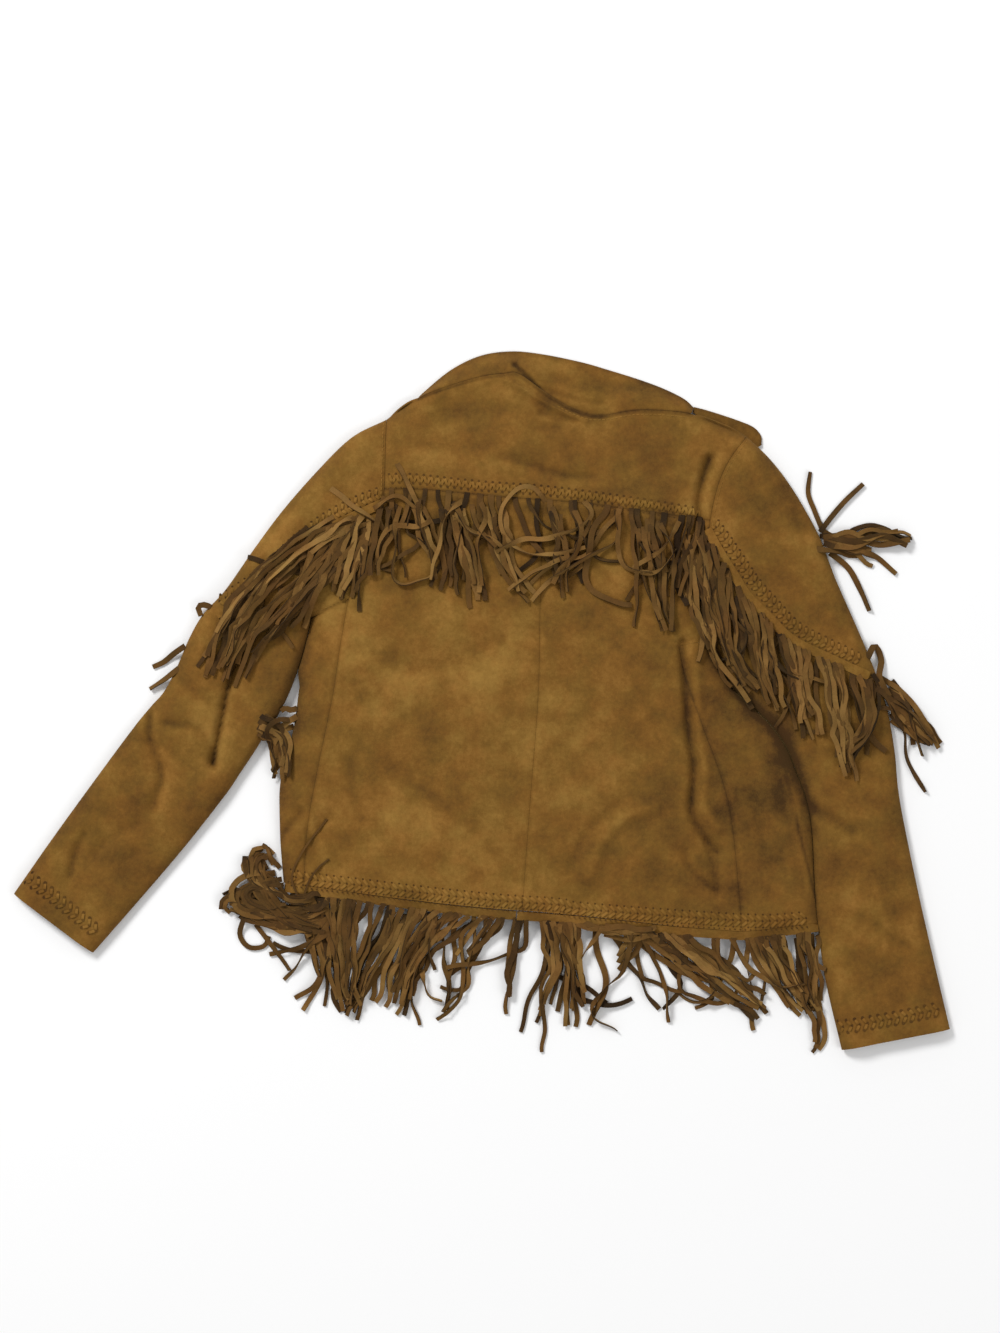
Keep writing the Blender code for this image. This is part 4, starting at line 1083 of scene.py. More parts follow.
def stitch(start, end, lift=THONG_LIFT):
    """One stitch of thong between two holes."""
    share = np.linspace(0, 1, STITCH_POINTS)
    path = start + (end - start) * (share * STITCH_REACH + (1 - STITCH_REACH) / 2)[:, None]
    from_middle = np.abs(share - 0.5)
    rise = lift * np.sin(np.pi * share) ** 0.7 - THONG_DIVE * (from_middle > 0.45)
    middle = raised(path, upper(path) + rise)
    across = raised(sides_of(path)[1], np.zeros(STITCH_POINTS))
    ahead = unit_steps(middle)
    # A thong is 0.10 lighter than the suede under it, with painted shade at its ends where it dives
    # into the holes.
    tone = shade(path) + 0.10 - 0.30 * (from_middle > 0.4)
    ribbon(stitches, middle, across, np.cross(ahead, across), THONG, THONG_WALL, tone)


def hole(point, size=HOLE):
    made = bmesh.ops.create_circle(holes, cap_ends=True, segments=8, radius=size * MM)["verts"]
    lifted = thicken(holes, made, HOLE_WALL * MM)
    centre = np.append(point, upper(point[None])[0] - HOLE_SINK) * MM
    bmesh.ops.translate(holes, verts=made + lifted, vec=centre)


def lacing(line, rows, pitch, lean=0.5, size=HOLE):
    """Thong between rows of holes at these distances from a line, leaning one way and back."""
    count = round(lengths(line)[-1] / pitch)
    spots = []
    for k, row in enumerate(rows):
        marks = (np.arange(count) + 0.25 + (lean if k % 2 else 0)) / (count + 1)
        spots.append(at(offset(line, row), marks))
    for k, (first, second) in enumerate(zip(spots[:-1], spots[1:])):
        for n in range(count):
            stitch(first[n], second[n])
            if len(rows) == 2 and n + 1 < count:
                stitch(second[n], first[n + 1], 0.5)
    for point in np.concatenate(spots):
        hole(point, size)
    print("a lacing of", count, "stitches a row")


print("a stitch is", THONG, "mm wide and a hole", 2 * HOLE, "mm across")

# %% [markdown]
# The armholes and the collar seam are top-stitched with pale thread. Each stitch is three points of
# a very thin ribbon, a little raised in its middle, with a gap before the next one.

# %% Seam thread
THREAD, THREAD_WALL, THREAD_TONE = 0.8, 0.5, 0.66
THREAD_STITCH, THREAD_PITCH, THREAD_END = 3.0, 4.3, 4
threads = bmesh.new()
collar_seam = stretch(neck, (70, 300), (208, 292.5))
for line, gap in ((armhole_left, -3.0), (arm_right, 3.0), (collar_seam, -3.5)):
    line = offset(line, gap)
    reach = lengths(line)[-1]
    for mark in np.arange(THREAD_END, reach - THREAD_END, THREAD_PITCH):
        path = at(line, np.linspace(mark, mark + THREAD_STITCH, 3) / reach)
        across = raised(sides_of(path)[1], np.zeros(3))
        middle = raised(path, upper(path) + (0.05, 0.25, 0.05))
        up = np.tile((0, 0, 1.0), (3, 1))
        ribbon(threads, middle, across, up, THREAD, THREAD_WALL, THREAD_TONE)
finish(threads, "seam_thread", (body_suede,), ())

# %% [markdown]
# Two rows of holes give a zigzag at the yoke, and three rows give the herringbone of the hem, the
# cuffs and the sleeve caps. A row of plain pricks beside the lacing holds the strip of the fringe.

# %% Rows of lacing
YOKE_LACE = (
    (-94, 234), (-67, 234), (-1, 227), (60, 222.5), (100, 218), (150, 211), (206, 202), (228, 197),
)
HEM_LACE = (
    (-192, -160), (-170, -164), (-116, -170), (-41, -179), (19, -185), (78, -189), (98, -193),
    (200, -201), (277, -205), (328, -202),
)
CUFF_LEFT_LACE = ((-449, -163), (-412, -191), (-373, -223))
CUFF_RIGHT_LACE = ((353, -312), (405, -304), (462, -292))
SLEEVE_LEFT_LACE = (
    (-103, 219), (-126, 210), (-158, 193), (-190, 169), (-219, 141), (-248, 121), (-272, 107),
)
SLEEVE_RIGHT_LACE = (
    (234, 188), (246, 172), (263, 147), (276, 128), (294, 108), (316, 85), (350, 67), (386, 50),
)
LACINGS = (
    (YOKE_LACE, (-1.5, -10.5), 7.0),
    (HEM_LACE, (0, -6.5, -13), 7.4, 0.95, 0.95),
    (CUFF_LEFT_LACE, (0, -6, -12), 8.5, 0.5, 2.0),
    (CUFF_RIGHT_LACE, (0, -6, -12), 8.5, 0.5, 2.0),
    (SLEEVE_LEFT_LACE, (0, 6, 12), 7.6),
    (SLEEVE_RIGHT_LACE, (0, -6, -12), 7.6),
)
for line, *settings in LACINGS:
    lacing(curve(line), *settings)

PRICK, PRICK_PITCH = 0.85, 5.2
for line, gap in ((curve(YOKE_LACE), -15), (curve(HEM_LACE), -15.5)):
    line = offset(line, gap)
    for point in at(line, np.linspace(0.01, 0.99, round(lengths(line)[-1] / PRICK_PITCH))):
        hole(point, PRICK)

lace_suede = suede("lace_suede")
finish(stitches, "suede_lacing", (lace_suede,), ())
# The holes and pricks are painted dark, a painted shadow for their depth.
finish(
    holes, "lace_holes", (body_suede,), (),
    lambda points: np.full(len(points), HOLE_PAINTED_SHADOW),
)

# %% [markdown]
# Strands of a fringe fall over each other in a tangle. A height map of everything laid so far lets
# each new strand rest on what is under it, which costs far less than a simulation and comes out
# the same each time. Past the hem the map slopes down to the floor, since the fringe hangs there.

# %% The pile that the strands lie on
PILE_CELL = 2.0
PILE_X, PILE_Y = np.arange(-520, 521, PILE_CELL), np.arange(-420, 421, PILE_CELL)


def inside(points, ring):
    """Which points lie inside a closed plan outline."""
    found = np.zeros(len(points), bool)
    x, y = points[:, 0], points[:, 1]
    for (ax, ay), (bx, by) in zip(ring, np.roll(ring, -1, axis=0)):
        cross = (ay > y) != (by > y)
        found ^= cross & (x < (bx - ax) * (y - ay) / (by - ay + 1e-12) + ax)
    return found


grid = np.stack(np.meshgrid(PILE_X, PILE_Y, indexing="ij"), -1)
ring = np.vstack([
    outer_left, inner_left[::-1], left_fold, curve(HEM), right_fold[::-1], inner_right,
    outer_right[::-1], neck_line[::-1],
])
covered = inside(grid.reshape(-1, 2), ring).reshape(grid.shape[:2])
FLOOR_GAP, CLOTH_GAP, HEM_SLOPE = 0.3, 0.25, 0.62
pile = np.full(grid.shape[:2], FLOOR_GAP)
pile[covered] = upper(grid[covered]) + CLOTH_GAP
hem_line = np.vstack([left_fold[-1:], curve(HEM), right_fold[-1:]])
beyond_hem = HEM_SLOPE * distance(grid.reshape(-1, 2), [hem_line]).reshape(grid.shape[:2])
hem_height = float(upper(hem).mean()) - WALL
falling = ~covered & (grid[..., 1] < hem_line[:, 1].max())
pile[falling] = np.maximum(pile[falling], (hem_height - beyond_hem)[falling])
cloth = pile.copy()
print("the fringe starts from", round(float(pile.max()), 1), "mm at its highest")

# %% [markdown]
# A strand is read against the map in five places across its width. It can't bend more steeply than
# leather does, and where many strands lie on each other the lower ones give way, so the pile grows
# more and more slowly. Once a strand is placed, its top is pressed into the map.

# %% Resting on the pile
PRESSED = 11.0
STIFF = 0.55
ACROSS_STRAND = (-1, -0.5, 0, 0.5, 1)


def cell_of(xy):
    i = np.clip(np.rint((xy[..., 0] - PILE_X[0]) / PILE_CELL).astype(int), 1, len(PILE_X) - 2)
    j = np.clip(np.rint((xy[..., 1] - PILE_Y[0]) / PILE_CELL).astype(int), 1, len(PILE_Y) - 2)
    return i, j


def rest_on_pile(path, across, half):
    """Heights at which a strand rests on the pile, no steeper than it can bend."""
    found = np.zeros(len(path))
    for side in ACROSS_STRAND:
        i, j = cell_of(path + across * half * side)
        piled = pile[i, j] - cloth[i, j]
        found = np.maximum(found, cloth[i, j] + PRESSED * (1 - np.exp(-piled / PRESSED)))
    run = lengths(path)
    reach = found[None, :] - STIFF * np.abs(run[:, None] - run[None, :])
    held = reach.max(1)
    soft = np.convolve(np.pad(held, 2, mode="edge"), np.ones(5) / 5, mode="valid")
    return np.maximum(held, soft)


def press_on_pile(path, across, half, top):
    for side in ACROSS_STRAND:
        i, j = cell_of(path + across * half * side)
        np.maximum.at(pile, (i, j), top)


print("a strand falls at most", round(math.degrees(math.atan(STIFF))), "degrees")

# %% [markdown]
# A strand is a flat strip about five millimetres wide, a little narrower at its tip. It leaves its
# root flat and then turns slowly about its own length. Each one has its own shade, because the nap
# of each strip catches the light in its own way, and a painted shade at its root, where it lies
# under the strands laid over it.

# %% A strand
STRAND_WALL, STRAND_STEP, TIP_TAPER = 1.05, 4.0, 0.18
ROOT_RUN, ROOT_SINK, ROOT_PAINTED_SHADE = 8.0, 2.2, 0.14
STRAND_TONE, TONE_SPREAD = 0.49, (-0.25, 0.23)


def wave(run, rng, cell, seed):
    """Smooth random values along a line, different for each call."""
    return noise(np.stack([run, run * 0], -1) + rng.uniform(0, 900), cell, seed)


def strand(bm, path, rng, twist, width, tone=0.0):
    """One strand along a plan path, resting on the pile and twisting a little."""
    count = max(5, round(lengths(path)[-1] / STRAND_STEP))
    path = at(path, np.linspace(0, 1, count + 1))
    run = lengths(path)
    ahead, across = sides_of(path)
    turn = twist * wave(run, rng, 34, 41)
    turn = turn * smooth(run / ROOT_RUN / 2)
    half = width / 2 * (1 - TIP_TAPER * (run / run[-1]) ** 3)
    base = rest_on_pile(path, across, half.mean()) + 0.1
    base = np.maximum(base - ROOT_SINK * (1 - smooth(run / ROOT_SINK / 3)), FLOOR_GAP)
    tall = STRAND_WALL * np.abs(np.cos(turn)) + 2 * half * np.abs(np.sin(turn))
    press_on_pile(path, across, half.mean() * 0.9, base + tall)
    middle = raised(path, base + tall / 2)
    ahead = unit_steps(middle)
    side = raised(across, np.zeros(count + 1))
    up = np.cross(ahead, side)
    across = side * np.cos(turn)[:, None] + up * np.sin(turn)[:, None]
    up = np.cross(ahead, across)
    own = STRAND_TONE + tone + rng.uniform(*TONE_SPREAD)
    # Painted shade at the root, where the strand lies under the strands laid over it.
    tones = own - ROOT_PAINTED_SHADE * (1 - smooth(run / run[-1] * 5)) + 0.10 * wave(run, rng, 12, 42)
    ribbon(bm, middle, across, up, 2 * half, STRAND_WALL, tones)


print("a strand has a point each", STRAND_STEP, "mm")

# %% [markdown]
# Two kinds of path are enough. A single strand wanders: it leaves square to its strip, drifts off
# its heading, and may kink or curl. A bundle follows one guide line, its strands side by side and
# each a little astray, as strands do that have been combed together by wear.

# %% Paths of strands
def wander(start, square, heading, reach, sway, rng, curl=0.0):
    """A strand's plan path: square to its strip, then a drifting heading with bends and a curl."""
    count = max(8, round(reach / 5))
    drift, phase, bend = rng.uniform(-sway, sway), rng.uniform(0, math.tau), rng.uniform(38, 80)
    kink_at, kink = rng.uniform(0.2, 0.8), rng.choice((0, 0, 0, 1, -1)) * rng.uniform(30, 85)
    point, path = np.array(start, float), [np.array(start, float)]
    for k in range(count):
        share = (k + 0.5) / count
        ease = smooth(share * reach / 18)
        swing = drift * share + 0.5 * sway * math.sin(math.tau * share * reach / bend + phase)
        swing += kink * smooth((share - kink_at) * 9) + curl * share**2
        turn = math.radians(square + ease * (heading - square + swing))
        point = point + reach / count * np.array((math.cos(turn), math.sin(turn)))
        path.append(point)
    return np.array(path)


def bundle(count, spread, late, guide, rng, root=None):
    """Plan paths of strands side by side along a guide line, each starting by the share late."""
    line = curve(guide)
    reach = lengths(line)[-1]
    places = [(k + 0.5) / count - 0.5 for k in range(count)]
    rng.shuffle(places)
    paths = []
    for place in places:
        marks = np.linspace(rng.uniform(0, late), rng.uniform(0.76, 1), 16)
        points = at(line, marks)
        seat = np.stack([marks * reach, np.full(16, rng.uniform(0, 900))], -1)
        drift = spread * place * (1 - 0.3 * marks) + 4.2 * noise(seat, 22, 51)
        drift = drift + 2.0 * noise(seat, 10, 52) + rng.uniform(-7, 7) * marks**2
        path = at(points + sides_of(points)[1] * drift[:, None], np.linspace(0, 1, 40))
        if root is not None and late <= 0.2:
            path = path[np.argmin(distance(path[:20], [root])):]
        paths.append(path)
    return paths


BUNCH_WIDE, BUNCH_FINE = 42, 16


def bunching(share, run, seed):
    """How far neighbouring strands lean together into bunches, in degrees."""
    wide = noise(np.array([share * run, 0.0]), 24, seed)
    return BUNCH_WIDE * wide + BUNCH_FINE * noise(np.array([share * run, 50.0]), 10, seed)


print("bunches lean up to", BUNCH_WIDE + BUNCH_FINE, "degrees")

# %% [markdown]
# A fringe is cut from a strip of suede, and the uncut edge of the strip is sewn in under the
# lacing. On a sleeve the strip lies on the suede. At the hem it hangs from the cut edge of the
# back, so the heights at its two sides are read first and the strip tilts between them.

# %% The strip of a fringe
STRIP_LIFT, STRIP_WALL, STRIP_STEP = 0.8, 1.2, 5


def strip(bm, root, side, depth, hung=False):
    """The uncut edge of a fringe, laid on the suede or hung from the hem's cut edge."""
    count = max(2, round(lengths(root)[-1] / STRIP_STEP))
    line = at(root, np.linspace(0, 1, count + 1))
    outer = offset(line, -side * depth)
    centre = (line + outer) / 2
    ahead, across = sides_of(centre)
    first = upper(line) - WALL / 2 if hung else rest_on_pile(line, across, 1) + STRIP_LIFT
    last = rest_on_pile(outer, across, 1) + STRIP_LIFT
    heights = (first + last) / 2
    press_on_pile(centre, across, depth / 2, heights + 0.7)
    tilt = np.arctan2(first - last, depth)[:, None]
    flat = np.concatenate([across * np.cos(tilt), side * np.sin(tilt)], -1)
    up = np.cross(np.concatenate([ahead, 0 * tilt], -1), flat)
    width = depth / np.cos(tilt[:, 0])
    # The strip is painted 0.06 lighter than the suede map, a painted highlight against the shade
    # its slant puts on it.
    ribbon(bm, raised(centre, heights), flat, up, width, STRIP_WALL, shade(centre) + 0.06, 1)


print("a strip is", STRIP_WALL, "mm thick")

# %% [markdown]
# The strands are laid in a random order, and the ones laid first lie deepest and carry the most
# painted shade, for the shadow of the strands over them. Each takes its heading, length and sway
# from the plan at its own place on the strip. Bundles go over them with painted shade graded the
# same way, and a few strays that stand out are placed one by one.

# %% A fringe
DEEP_PAINTED_SHADE, BUNDLE_DEEP_PAINTED_SHADE, BUNDLE_PAINTED_SHADE_RISE, STRAY_TONE = 0.34, -0.17, 0.30, 0.06


def fringe(node, root, side, plan, count, seed, depth=9.0, strays=(), bundles=(), hung=False):
    """A strip and its strands. Plan rows hold share, heading, length and sway."""
    rng = random.Random(seed)
    bm = bmesh.new()
    run = lengths(root)[-1]
    if depth:
        strip(bm, root, side, depth, hung)
    low = offset(root, -side * (depth - 2.0))
    plan = np.array(plan, float)
    order = sorted(range(count), key=lambda k: rng.random())
    for laid, k in enumerate(order):
        share = (k + 0.5 + 0.4 * math.sin(2.7 * k * k)) / count
        start = at(low, share)
        out = -side * sides_of(low)[1][int(share * (len(low) - 1))]
        square = math.degrees(math.atan2(out[1], out[0]))
        square += 360 * round((plan[0, 1] - square) / 360)
        heading, reach, sway = (np.interp(share, plan[:, 0], plan[:, c]) for c in (1, 2, 3))
        heading += bunching(share, run, seed) + rng.uniform(-13, 13)
        reach *= rng.uniform(0.7, 1.08)
        curl = rng.choice((0, 0, 0, 0, 0, 0, 45, -45, 130, -130))
        path = wander(start, square, heading, reach * (1 + abs(curl) / 500), sway, rng, curl)
        # Painted shade: the strands laid first, which lie deepest, are darkest.
        tone = DEEP_PAINTED_SHADE * (laid / count - 1)
        strand(bm, path, rng, rng.uniform(0.3, 1.8), rng.uniform(4.2, 6.4), tone)
    rows = [path for row in bundles for path in bundle(*row, rng, low)]
    rng.shuffle(rows)
    for laid, path in enumerate(rows):
        # Bundles get painted shade graded the same way, darkest on those laid first.
        tone = BUNDLE_PAINTED_SHADE_RISE * laid / len(rows) + BUNDLE_DEEP_PAINTED_SHADE
        strand(bm, path, rng, rng.uniform(0.3, 1.7), rng.uniform(4.4, 6.2), tone)
    for path in strays:
        path = curve(path)
        seat = np.stack([lengths(path), np.full(len(path), rng.uniform(0, 900))], -1)
        path = path + sides_of(path)[1] * (2.6 * noise(seat, 19, 53))[:, None]
        strand(bm, path, rng, 1.9, rng.uniform(4.4, 5.8), STRAY_TONE)
    print(node, "has", count + len(rows) + len(strays), "strands")
    finish(bm, node + "_strands", (fringe_suede, body_suede), (node,))


FRINGE_DARK = (0.024, 0.012, 0.004, 1)
FRINGE_PLAIN = (0.130, 0.0625, 0.0148, 1)
FRINGE_LIGHT = (0.322, 0.181, 0.055, 1)
FRINGE_SHADES = ((0.0, FRINGE_DARK), (0.5, FRINGE_PLAIN), (1.0, FRINGE_LIGHT))
fringe_suede = suede("fringe_suede", FRINGE_SHADES, mottle=0.35)

# %% [markdown]
# The plans say how each fringe falls. A plan row holds a share of the strip, the heading there in
# degrees, the length and the sway. A bundle holds its number of strands, its spread, how late they
# may start, and its guide line. Strays are the paths of single strands. The hem comes first,
# because it lies lowest, in two lengths with a small break between them.

# %% Fringe of the hem
HEM_LEFT_FRINGE = (
    (0, -98, 108, 20), (0.15, -96, 128, 26), (0.5, -100, 126, 30), (0.85, -100, 112, 26),
    (1, -100, 92, 16),
)
HEM_LEFT_BUNDLES = (
    (7, 36, 0.1, ((-162, -182), (-160, -222), (-152, -272))),
    (8, 32, 0.1, ((-132, -184), (-138, -227), (-138, -277), (-130, -302))),
    (10, 42, 0.1, ((-84, -192), (-102, -232), (-120, -272), (-132, -312))),
    (9, 38, 0.1, ((-50, -196), (-70, -237), (-84, -277), (-94, -307))),
    (8, 34, 0.1, ((-14, -200), (-50, -229), (-72, -258), (-77, -299))),
    (4, 18, 0.1, ((14, -203), (-4, -226), (-22, -250))),
)
HEM_LEFT_STRAYS = (
    ((-62, -262), (-54, -284), (-39, -291)),
    ((4, -206), (-20, -226), (-20, -258), (-24, -295), (-46, -310)),
    ((-147, -202), (-172, -238), (-196, -273)), ((-150, -222), (-180, -240), (-212, -248)),
    ((-44, -214), (-52, -240), (-48, -262)),
)
HEM_RIGHT_FRINGE = (
    (0, -84, 118, 16), (0.25, -80, 116, 30), (0.5, -70, 104, 30), (0.75, -66, 104, 22),
    (1, -124, 30, 8),
)
HEM_RIGHT_BUNDLES = (
    (3, 10, 0.1, ((38, -202), (32, -235), (27, -266), (24, -307))),
    (6, 26, 0.1, ((66, -203), (74, -255), (66, -286), (55, -316))),
    (5, 18, 0.1, ((84, -204), (88, -277), (87, -329))),
    (5, 18, 0.1, ((78, -204), (92, -255), (105, -299))),
    (5, 16, 0.2, ((90, -212), (130, -224), (178, -222))),
    (4, 26, 0.1, ((140, -208), (150, -232), (136, -262))),
    (13, 40, 0.2, ((160, -209), (213, -252), (257, -286), (283, -307))),
    (14, 34, 0.1, ((278, -219), (292, -254), (311, -284), (326, -307))),
    (7, 24, 0.1, ((322, -219), (326, -250), (331, -284), (333, -314))),
    (4, 20, 0.1, ((312, -272), (332, -306), (338, -330), (330, -350))),
)
HEM_RIGHT_STRAYS = (
    ((150, -219), (144, -256), (110, -300), (135, -323)),
    ((158, -220), (172, -250), (183, -286), (187, -314)), ((60, -290), (62, -318), (61, -344)),
    ((236, -226), (240, -250), (262, -272), (272, -262)),
    ((250, -228), (270, -262), (300, -276), (322, -276)), ((120, -216), (112, -232), (100, -250)),
)
HEM_LEFT_ENDS, HEM_RIGHT_ENDS = ((-196, -174), (34.3, -201.7)), ((35.2, -202), (338, -217))
hem_all = np.vstack([left_fold[-1:], hem, right_fold[-1:]])
fringe(
    "fringe_hem_left", stretch(hem_all, *HEM_LEFT_ENDS), 1, HEM_LEFT_FRINGE, 14, 14,
    strays=HEM_LEFT_STRAYS, bundles=HEM_LEFT_BUNDLES, hung=True,
)
fringe(
    "fringe_hem_right", stretch(hem_all, *HEM_RIGHT_ENDS), 1, HEM_RIGHT_FRINGE, 16, 15,
    strays=HEM_RIGHT_STRAYS, bundles=HEM_RIGHT_BUNDLES, hung=True,
)

# %% [markdown]
# A fringe crosses each sleeve at its cap and falls towards the elbow. On the left it streams along
# the sleeve, and on the right it hangs in separate bunches.

# %% Fringe of the sleeves
SLEEVE_LEFT_BAND = (
    (-97, 209), (-120, 199), (-152, 183), (-182, 160), (-212, 131), (-240, 111), (-266, 97),
)
SLEEVE_LEFT_FRINGE = ((0, -98, 86, 14), (0.3, -106, 92, 14), (0.6, -122, 92, 14), (1, -118, 84, 14))
SLEEVE_LEFT_BUNDLES = (
    (6, 30, 0.1, ((-152, 172), (-164, 138), (-177, 106), (-197, 70))),
    (10, 30, 0.3, ((-110, 193), (-137, 163), (-167, 128), (-202, 93), (-234, 53), (-246, 16))),
    (9, 36, 0.1, ((-117, 194), (-124, 165), (-132, 135), (-142, 105))),
    (13, 28, 0.4, (
        (-107, 196), (-142, 184), (-177, 163), (-207, 138), (-234, 108), (-257, 68), (-277, 18),
    )),
)
SLEEVE_LEFT_STRAYS = (
    ((-152, 218), (-134, 206), (-118, 196), (-104, 186)),
    ((-128, 190), (-160, 170), (-196, 142), (-228, 112)),
)
SLEEVE_RIGHT_BAND = (
    (228, 180), (240, 158), (255, 134), (268, 114), (288, 94), (311, 72), (347, 54), (387, 36),
)
SLEEVE_RIGHT_FRINGE = (
    (0, -88, 100, 18), (0.4, -82, 108, 22), (0.75, -78, 108, 22), (1, -74, 96, 20),
)
SLEEVE_RIGHT_BUNDLES = (
    (11, 38, 0.25, ((208, 192), (210, 156), (216, 112), (230, 72), (246, 38))),
    (6, 16, 0.1, ((376, 50), (386, 18), (382, -20), (362, -44), (350, -64))),
    (10, 24, 0.1, ((338, 70), (349, 30), (355, -8), (361, -40), (368, -74))),
    (9, 26, 0.1, ((304, 90), (313, 52), (319, 12), (334, -34))),
    (10, 30, 0.1, ((266, 130), (274, 90), (283, 34), (296, -8))),
    (13, 30, 0.2, ((224, 180), (230, 150), (234, 104), (242, 58), (258, 26), (272, 12))),
)
fringe(
    "fringe_sleeve_left", curve(SLEEVE_LEFT_BAND), -1, SLEEVE_LEFT_FRINGE, 10, 12,
    strays=SLEEVE_LEFT_STRAYS, bundles=SLEEVE_LEFT_BUNDLES,
)
fringe(
    "fringe_sleeve_right", curve(SLEEVE_RIGHT_BAND), 1, SLEEVE_RIGHT_FRINGE, 16, 13,
    bundles=SLEEVE_RIGHT_BUNDLES,
)

# %% [markdown]
# The fringe of the yoke is the liveliest: its strands cross, curl and loop over the back. They come
# out of the yoke seam itself, so there is no strip to see.

# %% Fringe of the yoke
YOKE_FRINGE = (
    (0, -97, 84, 24), (0.2, -93, 100, 28), (0.5, -90, 104, 34), (0.8, -88, 102, 28),
    (1, -84, 96, 22),
)
YOKE_BUNDLES = (
    (4, 14, 0.1, ((-64, 208), (-60, 190), (-55, 168), (-47, 142))),
    (4, 16, 0.1, ((-34, 207), (-29, 181), (-31, 142), (-34, 112))),
    (5, 18, 0.1, ((-28, 206), (-21, 172), (-8, 137), (1, 100))),
    (5, 24, 0.1, ((10, 203), (19, 159), (32, 129), (55, 105))),
    (3, 14, 0.1, ((72, 200), (75, 170), (80, 107))),
    (5, 24, 0.1, ((165, 190), (168, 150), (174, 111), (188, 72))),
    (4, 16, 0.1, ((-90, 208), (-96, 180), (-104, 150), (-108, 124))),
)
YOKE_STRAYS = (
    (
        (66, 206), (52, 220), (34, 218), (20, 202), (18, 182), (28, 163), (48, 153), (74, 152),
        (103, 158),
    ),
    ((-85, 245), (-78, 232), (-71, 216), (-62, 199)),
    ((-51, 188), (-64, 182), (-90, 180), (-100, 168), (-103, 142)),
    ((-29, 198), (-12, 177), (14, 164), (31, 138), (36, 116)),
    ((108, 158), (97, 151), (62, 142), (42, 128), (27, 116)),
    ((-84, 190), (-86, 159), (-88, 133), (-77, 124), (-55, 129), (-47, 140)),
    ((-29, 203), (-14, 177), (8, 168)), ((-8, 205), (-3, 181), (14, 160)),
    ((101, 206), (106, 190), (80, 172), (32, 164), (14, 156)),
    ((136, 198), (132, 168), (106, 151), (71, 129), (49, 107)),
    ((197, 188), (175, 155), (150, 138), (168, 134)), ((-108, 198), (-86, 211), (-64, 201)),
    ((-62, 208), (-62, 180), (-51, 155), (-45, 128)),
    ((136, 194), (136, 165), (142, 144), (158, 134), (176, 138), (192, 158)),
    ((150, 190), (152, 160), (154, 120), (152, 81)),
    ((176, 186), (188, 160), (190, 120), (188, 77)),
    ((214, 186), (212, 166), (204, 138), (197, 111)),
    ((-20, 208), (-34, 190), (-40, 160), (-52, 128)), ((-2, 205), (2, 186), (-6, 160), (2, 122)),
    ((92, 198), (100, 176), (94, 156), (70, 124)),
)
fringe(
    "fringe_yoke", stretch(yoke_seam, (-96, 218), (225, 187)), 1, YOKE_FRINGE, 26, 11,
    depth=0, strays=YOKE_STRAYS, bundles=YOKE_BUNDLES,
)

# %% [markdown]
# The fronts have a fringe too, and it shows only as locks that stick out past the folds. A lock
# is a few bundles and single strands with no strip, since its roots are hidden under the jacket.

# %% Locks past the sleeves and the left side
FRONT_TOP = (
    ((338, 176), (350, 192), (364, 208), (381, 224)),
    ((341, 170), (366, 172), (396, 163), (427, 168)),
    ((343, 166), (368, 158), (392, 152), (414, 134)),
    ((345, 162), (372, 160), (396, 172), (415, 177)),
    ((340, 178), (332, 198), (326, 215), (328, 236)),
    ((347, 155), (366, 140), (378, 118), (387, 97)),
    ((343, 172), (372, 166), (400, 172), (424, 162)),
    ((344, 168), (366, 176), (384, 168), (402, 176)),
)
TOP_BUNDLES = (
    (6, 22, 0.2, ((334, 170), (352, 164), (374, 160), (394, 156))),
    (5, 12, 0.2, ((366, 166), (384, 176), (404, 174), (429, 166))),
)
FRONT_LOW = (
    ((399, 30), (418, 17), (436, -4), (456, -40)), ((403, 18), (424, 3), (431, -20), (446, -36)),
    ((406, 6), (424, -8), (432, -28), (440, -48)), ((408, -6), (421, -24), (425, -52), (443, -84)),
    ((384, 50), (392, 62), (399, 48), (396, 30), (406, 12)),
    ((405, 12), (430, -6), (444, -24), (454, -34)),
)
LOW_BUNDLES = (
    (7, 22, 0.2, ((398, 26), (418, 4), (434, -20), (447, -42))),
    (4, 16, 0.2, ((412, -2), (432, -22), (456, -38))),
)
OUTER_LEFT = (
    ((-296, 62), (-308, 54), (-318, 46), (-329, 41)),
    ((-302, 40), (-312, 32), (-321, 26), (-332, 19)),
    ((-270, 100), (-276, 103), (-283, 101), (-280, 92)),
)
SIDE = (
    ((-184, -8), (-196, -16), (-206, -30), (-204, -50)),
    ((-188, -18), (-200, -24), (-209, -40), (-206, -66)),
    ((-186, -12), (-204, -12), (-214, -24), (-208, -44)),
    ((-184, 0), (-190, -2), (-196, 0), (-200, -3)),
)
SIDE_BUNDLES = ((10, 22, 0.1, ((-224, -14), (-211, -18), (-201, -30), (-199, -50), (-203, -72))),)


def lock(name, node, paths, seed, bundles=(), thin=()):
    """Strands without a strip of their own: bundles, single paths, and very thin ones."""
    rng = random.Random(seed)
    bm = bmesh.new()
    rows = [path for row in bundles for path in bundle(*row, rng)] + [curve(path) for path in paths]
    for path in rows:
        twist, width = rng.uniform(0.4, 1.5), rng.uniform(4.6, 6.4)
        strand(bm, path, rng, twist, width, rng.uniform(-0.12, 0.02))
    for path in thin:
        strand(bm, curve(path), rng, 0.5, 1.9, -0.2)
    finish(bm, name, (fringe_suede,), (node,))


lock("lock_right_top", "fringe_front_right_top", FRONT_TOP, 16, TOP_BUNDLES)
lock("lock_right_low", "fringe_front_right_low", FRONT_LOW, 17, LOW_BUNDLES)
lock("lock_left", "fringe_front_left", OUTER_LEFT, 18)
lock("lock_side_left", "fringe_side_left", SIDE, 19, SIDE_BUNDLES)

